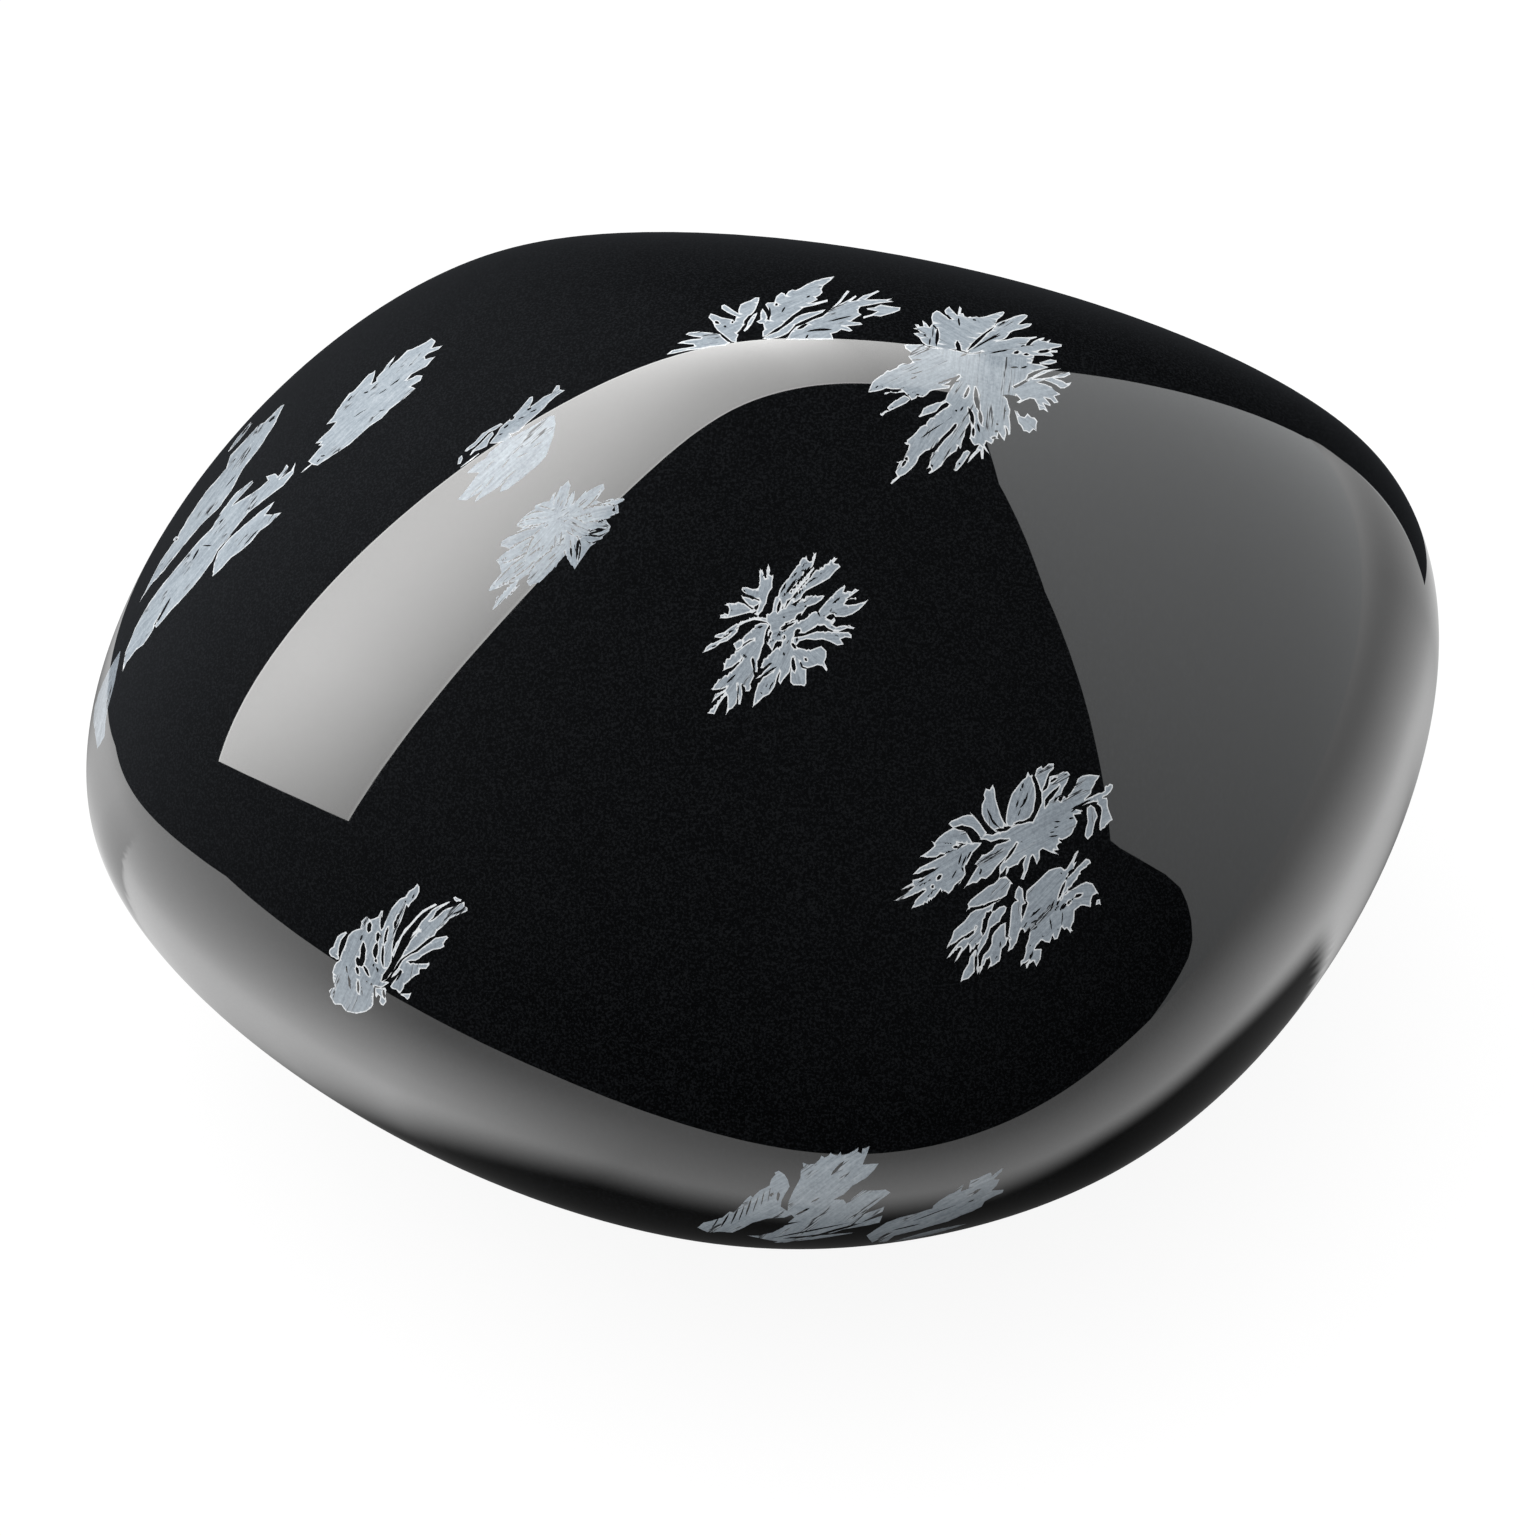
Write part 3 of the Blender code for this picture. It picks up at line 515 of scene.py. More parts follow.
        [49, 90, 62, 90, 75, 87, 85, 82, 97, 72, 90, 66, 91, 56, 95, 47, 100, 38, 103, 32, 103, 24,
         106, 22, 105, 17, 111, 19, 117, 18, 122, 14, 124, 10, 127, 12, 131, 10, 133, 7, 136, 9, 140, 10,
         143, 6, 144, 10, 151, 8, 157, 5, 161, 2, 160, 6, 164, 8, 165, 3, 172, 0, 170, 7, 167, 14,
         165, 19, 181, 18, 177, 24, 169, 32, 155, 40, 146, 49, 136, 54, 146, 54, 149, 58, 156, 52,
         165, 45, 177, 45, 188, 44, 193, 47, 182, 55, 171, 64, 163, 70, 177, 65, 187, 61, 185, 66,
         177, 70, 164, 77, 185, 70, 182, 77, 168, 80, 145, 84, 126, 90, 106, 94, 87, 97, 69, 94],
        [169, 90, 178, 84, 189, 77, 202, 72, 218, 68, 235, 63, 236, 60, 241, 56, 250, 50, 260, 43,
         266, 39, 263, 46, 271, 43, 273, 35, 282, 32, 290, 28, 294, 27, 294, 31, 300, 26, 306, 22,
         304, 26, 296, 34, 302, 34, 299, 40, 294, 45, 306, 44, 305, 47, 296, 51, 287, 56, 284, 61,
         274, 66, 263, 70, 250, 76, 235, 80, 218, 85, 197, 90, 189, 96, 175, 97],
    ], "blades": [
        (197, 96, 270, 78, 3.5, 1), (77, 97, 157, 87, 3, 1),
    ], "fissures": [
        (72, 51, 76, 47, 3), (80, 56, 81, 46, 3.6), (14, 83, 22, 71, 1.4), (23, 82, 32, 67, 2),
        (33, 79, 41, 62, 1.7), (41, 76, 47, 59, 1.3), (48, 71, 54, 52, 2), (55, 67, 61, 50, 1.5),
        (63, 61, 67, 45, 1.2), (70, 57, 73, 42, 1), (48, 86, 103, 76, 2), (73, 93, 153, 77, 1.4),
        (133, 30, 147, 15, 3), (113, 57, 123, 52, 1.6), (97, 70, 113, 62, 2.2), (85, 93, 120, 90, 1.6),
        (108, 93, 166, 77, 2.2), (252, 49, 265, 41, 1.5), (274, 48, 284, 43, 1.8),
        (270, 57, 277, 54, 1.2), (214, 76, 260, 59, 0.9), (194, 85, 224, 78, 1.2),
    ]},
    "left_edge": {"corner": (122, 404), "rim": 0.8, "pale": 0.85, "plates": [
        [17, 198, 38, 157, 54, 134, 66, 113, 83, 88, 104, 64, 108, 51, 126, 32, 137, 20, 142, 18, 159, 1,
         162, 0, 155, 14, 154, 17, 138, 42, 128, 55, 121, 64, 109, 86, 96, 104, 80, 119, 61, 141, 41, 167,
         28, 181],
        [0, 267, 3, 248, 13, 223, 27, 198, 41, 179, 66, 149, 78, 135, 90, 123, 96, 112, 100, 106, 114, 88,
         130, 76, 131, 78, 121, 89, 110, 101, 128, 90, 138, 83, 146, 76, 144, 72, 153, 69, 156, 72,
         161, 66, 164, 60, 166, 62, 163, 70, 157, 75, 169, 66, 173, 58, 171, 69, 161, 81, 144, 94,
         126, 108, 117, 119, 106, 134, 96, 145, 90, 157, 78, 173, 69, 184, 47, 208, 34, 223, 32, 220,
         38, 209, 29, 228, 21, 240, 14, 245, 4, 258],
        [90, 172, 92, 158, 96, 147, 107, 134, 124, 119, 138, 107, 152, 97, 147, 105, 143, 110, 150, 110,
         159, 108, 148, 119, 138, 126, 130, 136, 119, 146, 109, 153, 100, 163],
    ], "blades": [
        (106, 47, 130, 17, 3, 3), (51, 136, 55, 132, 2, 0),
    ], "fissures": [
        (146, 18, 153, 11, 2.5), (70, 156, 77, 144, 2), (80, 141, 90, 141, 1.4), (34, 219, 49, 192, 2.4),
        (121, 141, 136, 125, 1.5), (103, 83, 114, 70, 0.9),
    ]},
    "left_edge_low": {"corner": (93, 650), "rim": 0.4, "pale": 0.2, "plates": [
        [4, 98, 0, 72, 1, 57, 5, 43, 11, 29, 18, 15, 27, 0, 26, 7, 21, 32, 18, 44, 14, 58, 12, 72, 11, 86],
    ]},
}

# The snowflakes that the photograph doesn't show: the direction that the stone faces there, as
# degrees from +X towards +Y and degrees up, how far they reach in pixels, and the drawing that they
# repeat.
HIDDEN = [
    (96, 8, 92, "crown"), (62, -8, 80, "middle"), (128, -6, 86, "right_upper"),
    (145, 14, 66, "strip_inner"), (20, -30, 80, "right_lower"), (-24, -40, 54, "middle"),
    (-62, -48, 52, "lower_left"), (-118, -52, 60, "strip_inner"), (-162, -34, 64, "right_lower"),
    (172, -12, 64, "middle"), (100, -42, 96, "right_upper"), (38, -52, 76, "crown"),
    (160, -50, 82, "lower_left"), (-60, -74, 78, "crown"), (70, 34, 50, "strip_inner"),
]
# A sheet that is square to the stone starts its lines this far out, and lies on what faces it at
# least this much.
SHEET_GAP = 8.0
SHEET_FACING = 0.1
# Which way a square sheet's first side goes: square to this and to the stone.
SHEET_SIDE = (0.3, 0.2, 0.9)
# How often a corner that misses the stone is brought half-way nearer to it.
HALVINGS = 9
SEED = 7
# Keeps a length that one divides by from being nothing.
TINY = 1e-9


def unit(vectors):
    return vectors / np.linalg.norm(vectors, axis=-1, keepdims=True)


def pairs(numbers):
    return np.reshape(numbers, (-1, 2))


def pebble_points(directions):
    """Points of the tumbled chunk whose outward normals are these unit directions."""
    stand_out = np.maximum(directions @ CORNERS.T, 0.0)
    total = (stand_out**POWER).sum(axis=1, keepdims=True)
    pull = stand_out ** (POWER - 1) * total ** (1.0 / POWER - 1.0)
    return pull @ CORNERS + SKIN * directions


def form_middle():
    """Middle of the form's box at the level of the worn flat, and that level."""
    lowest = pebble_points(np.array([(0.0, 0.0, -1.0)]))[0, 2]
    level = lowest + FLAT_DEPTH + FLAT_BLEND / 2
    sides = np.array([(1.0, 0, 0), (-1.0, 0, 0), (0, 1.0, 0), (0, -1.0, 0)])
    right, left, back, front = pebble_points(sides)
    return np.array([(right[0] + left[0]) / 2, (back[1] + front[1]) / 2, level])


MIDDLE = form_middle()


def stone_surface(directions):
    """Points of the worn stone in the part's frame, and its outward normals there."""
    points = pebble_points(directions)
    half = FLAT_BLEND / 2
    above = points[:, 2] - MIDDLE[2]
    eased = (np.clip(above, -half, half) + half) ** 2 / (4 * half)
    slope = np.clip((above + half) / (2 * half), 0.0, 1.0)
    points[:, 2] = MIDDLE[2] + np.where(above > half, above, eased)
    normals = directions * np.column_stack([slope, slope, np.ones_like(slope)])
    return points - MIDDLE, unit(normals)


def even_directions(count):
    """Directions spread evenly, along a spiral that turns by the golden angle."""
    index = np.arange(count) + 0.5
    height = 1 - 2 * index / count
    turn = math.pi * (1 + math.sqrt(5)) * index
    reach = np.sqrt(1 - height**2)
    return np.column_stack([reach * np.cos(turn), reach * np.sin(turn), height])


def to_chart(directions):
    """Flat map of the directions, seen from straight down: circles stay circles."""
    return directions[:, :2] / (1 + directions[:, 2:])


def from_chart(places):
    square = (places**2).sum(axis=1, keepdims=True)
    return np.hstack([2 * places, 1 - square]) / (1 + square)


class Finder:
    """Finds the direction that the stone faces where a line meets it."""

    def __init__(self):
        ball = bmesh.new()
        bmesh.ops.create_icosphere(ball, subdivisions=FINDER_SUBDIVISIONS, radius=1.0)
        self.directions = unit(np.array([vertex.co for vertex in ball.verts], float))
        self.faces = np.array([[vertex.index for vertex in face.verts] for face in ball.faces])
        ball.free()
        self.points = stone_surface(self.directions)[0]
        self.tree = BVHTree.FromPolygons(self.points.tolist(), self.faces.tolist())

    def direction(self, start, heading):
        """Direction at the first meeting, or None where the line misses."""
        place, _, index, _ = self.tree.ray_cast(Vector(start), Vector(heading))
        if place is None:
            return None
        corners = self.faces[index]
        first, second, third = self.points[corners]
        edges = np.column_stack([second - first, third - first])
        share = np.linalg.lstsq(edges, np.array(place) - first, rcond=None)[0]
        weights = np.array([1 - share.sum(), share[0], share[1]])
        return unit(weights @ self.directions[corners])


class CameraSheet:
    """The photograph as a flat drawing, laid on the stone along the camera's lines."""

    ahead = np.array([0.0, math.cos(PITCH), -math.sin(PITCH)])
    right = np.array([1.0, 0.0, 0.0])
    up = np.array([0.0, math.sin(PITCH), math.cos(PITCH)])
    eye = -MIDDLE - CAMERA_DISTANCE * ahead
    focus = PHOTO_SIDE * LENS / SENSOR

    def line(self, place):
        across = (place[0] + 0.5 - PHOTO_SIDE / 2) / self.focus
        down = (place[1] + 0.5 - PHOTO_SIDE / 2) / self.focus
        return self.eye, self.ahead + across * self.right - down * self.up

    def places(self, points):
        far = points - self.eye
        depth = far @ self.ahead
        across = self.focus * (far @ self.right) / depth
        down = -self.focus * (far @ self.up) / depth
        return np.column_stack([across, down]) + (PHOTO_SIDE - 1) / 2

    def faces(self, points, normals):
        return ((self.eye - points) * normals).sum(axis=1) > 0


class SquareSheet:
    """A flat drawing laid on the stone along one normal, with its middle there."""

    def __init__(self, direction, turn):
        point, normal = stone_surface(direction[None])
        self.out = normal[0]
        first = unit(np.cross(self.out, SHEET_SIDE))
        second = np.cross(self.out, first)
        self.across = math.cos(turn) * first + math.sin(turn) * second
        self.down = -math.sin(turn) * first + math.cos(turn) * second
        self.start = point[0] + SHEET_GAP * self.out

    def line(self, place):
        moved = (place[0] * self.across + place[1] * self.down) / PIXELS_PER_MM
        return self.start + moved, -self.out

    def places(self, points):
        far = points - self.start
        return np.column_stack([far @ self.across, far @ self.down]) * PIXELS_PER_MM

    def faces(self, points, normals):
        return normals @ self.out > SHEET_FACING


def inside_outline(places, outline):
    """Which places lie inside the outline: an odd count of crossings to the left."""
    inside = (places > outline.min(axis=0)).all(axis=1) & (places < outline.max(axis=0)).all(axis=1)
    x, y = places[inside, 0:1], places[inside, 1:2]
    x0, y0 = outline.T
    x1, y1 = np.roll(outline, -1, axis=0).T
    crosses = (y0 > y) != (y1 > y)
    rise = np.where(y1 == y0, 1.0, y1 - y0)
    at = x0 + (y - y0) * (x1 - x0) / rise
    inside[inside] = (crosses & (x < at)).sum(axis=1) % 2 == 1
    return inside


# How far along a blade its sides run before its end starts, and between how many steps.
SIDE_SHARE = {ROUND: 0.86, POINTED: 0.9, FORKED: 0.8, RAGGED: 0.82}
SIDE_STEPS = (3, 16)
GAP_STEPS = 4
# How blades narrow to their ends: how bluntly a pointed one does, how late and how bluntly a round one
# does, and what a forked or ragged one loses.
POINTED_POWER = 0.85
ROUND_LATE, ROUND_POWER = 3.2, 0.5
FORKED_LOSS = 0.16
# The places of a round end, as shares of the blade's length and of its half-width.
ROUND_END = [(0.96, 0.62), (1.0, 0.0), (0.95, -0.66)]
# What barbs are drawn from, as shares of their size, and how far behind each is its low side, and how
# low it is.
BARB_SIZES = (0.5, 1.2)
BARB_BACK = 0.7
BARB_LOW = 0.5
# What the tips of a forked or ragged end are drawn from: how many there are, how much shorter the
# others are than the longest and how deep the notches are, in teeth, with the most as a share of the
# length, where a tip is between its notches, and how far a notch strays.
TEETH = (2, 6)
SHORTER, SHORTER_MOST = (0.25, 1.0), 0.16
DEEPER, DEEPER_MOST = (0.7, 1.7), 0.2
TIP_LEANS = (0.3, 0.7)
NOTCH_STRAY = 0.4
# What slits are drawn from, as shares of the blade's length and half-width: how far back one runs from
# a notch, how near the middle it starts and how far it reaches past the notch. Then where one in a wide
# blade lies across it, where it starts, how long it is and how near the middle it starts.
NOTCH_SLITS = (0.12, 0.5)
NOTCH_SLIT_NEAR = 0.75
NOTCH_SLIT_PAST = 0.02
WIDE_SLIT_ACROSS = (0.15, 0.5)
WIDE_SLIT_STARTS = (0.15, 0.45)
WIDE_SLIT_LENGTHS = (0.18, 0.4)
WIDE_SLIT_NEAR = 0.7


def blade_widths(shares, end):
    """Half-width along a blade, as a share of its widest."""
    grown = ROOT_SHARE + (1 - ROOT_SHARE) * np.sin(np.clip(shares / WIDEN_SHARE, 0, 1) * math.pi / 2)
    left = np.clip((1 - shares) / NARROW_SHARE, 0, 1)
    if end == POINTED:
        return grown * np.sin(left * math.pi / 2) ** POINTED_POWER
    if end == ROUND:
        return grown * np.clip(left * ROUND_LATE, 0, 1) ** ROUND_POWER
    return grown * (1 - FORKED_LOSS * np.clip((shares - WIDEN_SHARE) / (1 - WIDEN_SHARE), 0, 1))


def blade_side(shares, widths, length, draw):
    """One side of a blade as (share, half-width), with barbs that point to its tip."""
    half = widths.max()
    barb = min(BARB_SHARE * half, BARB_MOST) if half > BARB_FROM else 0.0
    stray = SIDE_STRAY_SHARE * half + SIDE_STRAY
    first = draw.integers(2, 2 + BARB_EVERY)
    rows = []
    for index, (share, width) in enumerate(zip(shares, widths)):
        width += draw.uniform(-stray, stray)
        if barb and index % BARB_EVERY == first % BARB_EVERY and index >= 2:
            rows.append((share, width + barb * draw.uniform(*BARB_SIZES)))
            rows.append((share + BARB_BACK / length, width - BARB_LOW * barb))
        else:
            rows.append((share, max(width, LEAST_HALF)))
    return rows


def blade_end(end, half, length, draw):
    """The end of a blade as (share, place across), and the same for the notches between its tips."""
    if end == ROUND:
        return [(share, across * half) for share, across in ROUND_END], []
    if end == POINTED:
        return [(1.0, 0.0)], []
    count = 2 if end == FORKED else int(np.clip(round(2 * half / TOOTH), *TEETH))
    edges = np.linspace(half, -half, count + 1) * TEETH_SHARE
    longest = draw.integers(count)
    rows, notches = [], []
    for tooth in range(count):
        short = 0.0
        if tooth != longest:
            short = draw.uniform(*SHORTER) * min(TOOTH, SHORTER_MOST * length)
        lean = draw.uniform(*TIP_LEANS)
        rows.append((1.0 - short / length, lean * edges[tooth] + (1 - lean) * edges[tooth + 1]))
        if tooth < count - 1:
            deep = short + draw.uniform(*DEEPER) * min(TOOTH, DEEPER_MOST * length)
            aside = draw.uniform(-NOTCH_STRAY, NOTCH_STRAY)
            notches.append((1.0 - deep / length, edges[tooth + 1] + aside))
            rows.append(notches[-1])
    return rows, notches


def blade_outline(blade, draw):
    """One blade as corners in order round it, the dark gap that sets it off from the blades under
    it, and the slits in it."""
    root, tip = np.array(blade[:2], float), np.array(blade[2:4], float)
    half, end = blade[4] / 2, blade[5]
    run = tip - root
    length = np.hypot(*run)
    side = np.array([-run[1], run[0]]) / length

    def place(share, across):
        return root + share * run + across * side

    steps = int(np.clip(round(length * SIDE_SHARE[end] / OUTLINE_STEP), *SIDE_STEPS))
    shares = np.linspace(0.0, SIDE_SHARE[end], steps + 1)
    widths = half * blade_widths(shares, end)
    left = blade_side(shares, widths, length, draw)
    right = blade_side(shares, widths, length, draw)
    flip = draw.choice((-1, 1))
    ends, notches = blade_end(end, widths[-1], length, draw)
    rows = left + ends + [(share, -across) for share, across in right[::-1]]
    outline = np.array([place(share, flip * across) for share, across in rows])

    near = np.linspace(GAP_START, GAP_END, max(steps, GAP_STEPS))
    aside = GAP * np.sin(math.pi * (near - GAP_START) / (GAP_END - GAP_START))
    wide = half * blade_widths(near, end) + aside
    gap = [place(share, width) for share, width in zip(near, wide)]
    gap += [place(share, -width) for share, width in zip(near[::-1], wide[::-1])]

    slits = []
    for share, across in notches:
        start = share - draw.uniform(*NOTCH_SLITS) * min(1.0, SLIT_LENGTH / length)
        inner = place(start, flip * across * NOTCH_SLIT_NEAR)
        outer = place(share + NOTCH_SLIT_PAST, flip * across)
        slits.append((*inner, *outer, draw.uniform(*SLIT_WIDTHS)))
    if 2 * half >= SLIT_FROM:
        for way in (-1, 1):
            across = way * half * draw.uniform(*WIDE_SLIT_ACROSS)
            start = draw.uniform(*WIDE_SLIT_STARTS)
            stop = start + draw.uniform(*WIDE_SLIT_LENGTHS)
            inner, outer = place(start, WIDE_SLIT_NEAR * across), place(stop, across)
            slits.append((*inner, *outer, draw.uniform(*SLIT_WIDTHS)))
    return outline, np.array(gap), slits


def plate_outline(corners, draw):
    """A traced outline with its long edges cut into steps that stray a little."""
    rows = []
    for start, stop in zip(corners, np.roll(corners, -1, axis=0)):
        rows.append(start)
        count = int(np.hypot(*(stop - start)) / OUTLINE_STEP)
        for share in np.arange(1, count) / max(count, 1):
            rows.append(start + share * (stop - start) + draw.uniform(-STRAY, STRAY, 2))
    return np.array(rows)


def fissure_outline(fissure, draw):
    """A slit along a line of places that tapers to both ends."""
    line = pairs(fissure[:-1])
    lengths = np.hypot(*np.diff(line, axis=0).T)
    reached = np.append(0.0, np.cumsum(lengths)) / lengths.sum()
    shares = np.linspace(0.0, 1.0, 2 * len(line) + 1)
    places = np.column_stack([np.interp(shares, reached, values) for values in line.T])
    run = np.gradient(places, axis=0)
    side = unit(np.column_stack([-run[:, 1], run[:, 0]]))
    half = fissure[-1] / 2 * (1 - np.abs(2 * shares - 1) ** SLIT_TAPER)
    left, right = [places + way * (half * draw.uniform(*SLIT_VARIES, len(half)))[:, None] * side
                   for way in (1, -1)]
    return np.vstack([left, right[-2:0:-1]])


def placed(drawing):
    """The drawing with its outlines moved from their corner to where they are in the photograph."""
    corner = np.array(drawing["corner"], float)
    plates = [pairs(plate) + corner for plate in drawing["plates"]]
    blades = [
        (*(pairs(blade[:4]) + corner).ravel(), *blade[4:]) for blade in drawing.get("blades", [])
    ]
    fissures = [
        (*(pairs(fissure[:-1]) + corner).ravel(), fissure[-1]) for fissure in drawing.get("fissures", [])
    ]
    return {**drawing, "plates": plates, "blades": blades, "fissures": fissures}


def repeated(drawing, reach, flip):
    """A placed drawing's plates and fissures round their middle, brought to this reach. Mirrored
    where flip is -1."""
    corners = np.vstack(drawing["plates"])
    middle = (corners.min(axis=0) + corners.max(axis=0)) / 2
    scale = reach / np.hypot(*(corners - middle).T).max()
    sizes = scale * np.array([flip, 1])
    plates = [sizes * (plate - middle) for plate in drawing["plates"]]
    fissures = [
        (*(sizes * (pairs(fissure[:-1]) - middle)).ravel(), scale * fissure[-1])
        for fissure in drawing["fissures"]
    ]
    return {"plates": plates, "blades": [], "fissures": fissures}


def fitted(finder, sheet, outline, middle):
    """The outline with each corner that misses the stone drawn in towards the middle, and the
    directions there."""
    corners, directions = [], []
    for corner in outline:
        found = finder.direction(*sheet.line(corner))
        inside, outside = middle, corner
        if found is None:
            for _ in range(HALVINGS):
                between = (inside + outside) / 2
                tried = finder.direction(*sheet.line(between))
                if tried is None:
                    outside = between
                else:
                    inside, found = between, tried
            corner = inside
        corners.append(corner)
        directions.append(found)
    return np.array(corners), np.array(directions)


class Snowflake:
    """One snowflake: its sheet, and the crystals on it, each with its root, its run and its tone.

    The outlines lie in the order that they are painted in, each with its crystal's number, or with
    GLASS or VEIN where it takes the crystals under it away. What they leave in sight goes into the
    mesh, as the directions of its places and the steps between them.
    """

    def __init__(self, finder, sheet, drawing, draw):
        self.sheet = sheet
        self.finder = finder
        self.rim = drawing.get("rim", USUAL_RIM)
        self.crystals, self.painted = [], []
        blade_ends = [pairs(blade[:4]) for blade in drawing["blades"]]
        self.middle = np.vstack(drawing["plates"] + blade_ends).mean(axis=0)
        for corners in drawing["plates"]:
            tip = corners[np.argmax(np.hypot(*(corners - corners[0]).T))]
            self.crystals.append((corners[0], tip - corners[0], drawing.get("pale", USUAL_PALE)))
            self.paint(plate_outline(corners, draw), len(self.crystals) - 1)
        for blade, (root, tip) in zip(drawing["blades"], blade_ends):
            outline, gap, slits = blade_outline(blade, draw)
            self.paint(gap, GLASS)
            self.crystals.append((root, tip - root, draw.uniform(*BLADE_TONES)))
            self.paint(outline, len(self.crystals) - 1)
            for slit in slits:
                self.paint(fissure_outline(slit, draw), VEIN)
        for fissure in drawing["fissures"]:
            self.paint(fissure_outline(fissure, draw), VEIN if fissure[-1] < VEIN_MOST else GLASS)
        self.keep_borders()

    def paint(self, outline, label):
        self.painted.append((*fitted(self.finder, self.sheet, outline, self.middle), label))

    def shown(self, places):
        """Number of the crystal that shows at each place, or GLASS, or VEIN."""
        top = np.full(len(places), GLASS)
        for outline, _, label in self.painted:
            top[inside_outline(places, outline)] = label
        return top

    def keep_borders(self):
        """Keeps the steps of the outlines where what shows changes, points where the rims end there,
        and points all over the crystals."""
        corners = np.vstack([outline for outline, _, _ in self.painted])
        directions = np.vstack([found for _, found, _ in self.painted])
        after = np.arange(1, len(corners) + 1)
        start = 0
        for outline, _, _ in self.painted:
            after[start + len(outline) - 1] = start
            start += len(outline)
        before = np.argsort(after)
        run = corners[after] - corners
        side = unit(np.column_stack([-run[:, 1], run[:, 0]]) + TINY)
        changes = np.zeros(len(run), bool)
        for share in LOOK_SHARES:
            spots = corners + share * run
            changes |= self.shown(spots + LOOK_ASIDE * side) != self.shown(spots - LOOK_ASIDE * side)
        used = changes | changes[before]
        number = np.cumsum(used) - 1
        self.places = list(directions[used])
        self.steps = np.column_stack([number, number[after]])[changes].tolist()

        spots = np.vstack([corners[used], (corners + run / 2)[changes]])
        away = np.vstack([unit(side + side[before] + TINY)[used], side[changes]])
        first = self.shown(spots + LOOK_ASIDE * away)
        second = self.shown(spots - LOOK_ASIDE * away)
        columns, rows = [np.arange(low, high, CORE_STEP)
                         for low, high in zip(corners.min(axis=0), corners.max(axis=0))]
        inner = [np.stack(np.meshgrid(columns, rows), axis=-1).reshape(-1, 2)]
        for way, here, there in ((1, first, second), (-1, second, first)):
            rims = (here >= 0) & (there == GLASS)
            inner.append(spots[rims] + way * RIM * away[rims])
        inner = np.vstack(inner)
        met = [self.finder.direction(*self.sheet.line(spot)) for spot in inner[self.shown(inner) >= 0]]
        self.places += [direction for direction in met if direction is not None]


def make_snowflakes(finder):
    draw = np.random.default_rng(SEED)
    drawings = {name: placed(drawing) for name, drawing in TRACED.items()}
    snowflakes = [Snowflake(finder, CameraSheet(), drawing, draw) for drawing in drawings.values()]
    for turn, up, reach, name in HIDDEN:
        turn, up = math.radians(turn), math.radians(up)
        direction = np.array([
            math.cos(up) * math.cos(turn), math.cos(up) * math.sin(turn), math.sin(up)
        ])
        sheet = SquareSheet(direction, draw.uniform(0, 2 * math.pi))
        drawing = repeated(drawings[name], reach, draw.choice((-1, 1)))
        snowflakes.append(Snowflake(finder, sheet, drawing, draw))
    return snowflakes


# Even points are left out beyond this share of the ring's reach on the flat map, and points of the
# map that are closer than this are one.
EVEN_REACH = 0.93
SAME_PLACE = 1e-7


def cut_mesh(snowflakes):
    """Directions and triangles of the mesh, with every outline in its edges."""
    spread = to_chart(even_directions(EVEN_POINTS))
    ring_reach = 1 / math.tan(RING_ANGLE / 2)
    spread = spread[np.hypot(*spread.T) < EVEN_REACH * ring_reach]
    turns = 2 * math.pi * np.arange(RING_POINTS) / RING_POINTS
    ring = ring_reach * np.column_stack([np.cos(turns), np.sin(turns)])
    places = [ring, spread]
    count = len(ring) + len(spread)
    edges = []
    for snowflake in snowflakes:
        places.append(to_chart(np.array(snowflake.places)))
        edges += [(start + count, stop + count) for start, stop in snowflake.steps]
        count += len(snowflake.places)
    places = [Vector(place) for place in np.vstack(places)]
    cut = delaunay_2d_cdt(places, edges, [], 0, SAME_PLACE, False)
    places = np.array([tuple(place) for place in cut[0]], float)
    directions = from_chart(places)
    faces = np.array([tuple(face) for face in cut[2]])
    # The cap closes the ring round straight down.
    ring_found = np.argsort(-np.hypot(*places.T))[:RING_POINTS]
    order = ring_found[np.argsort(np.arctan2(directions[ring_found, 1], directions[ring_found, 0]))]
    down = len(directions)
    directions = unit(np.vstack([directions, [(0.0, 0.0, -1.0)]]))
    cap = [(order[i], down, order[(i + 1) % RING_POINTS]) for i in range(RING_POINTS)]
    return directions, np.vstack([faces, cap])


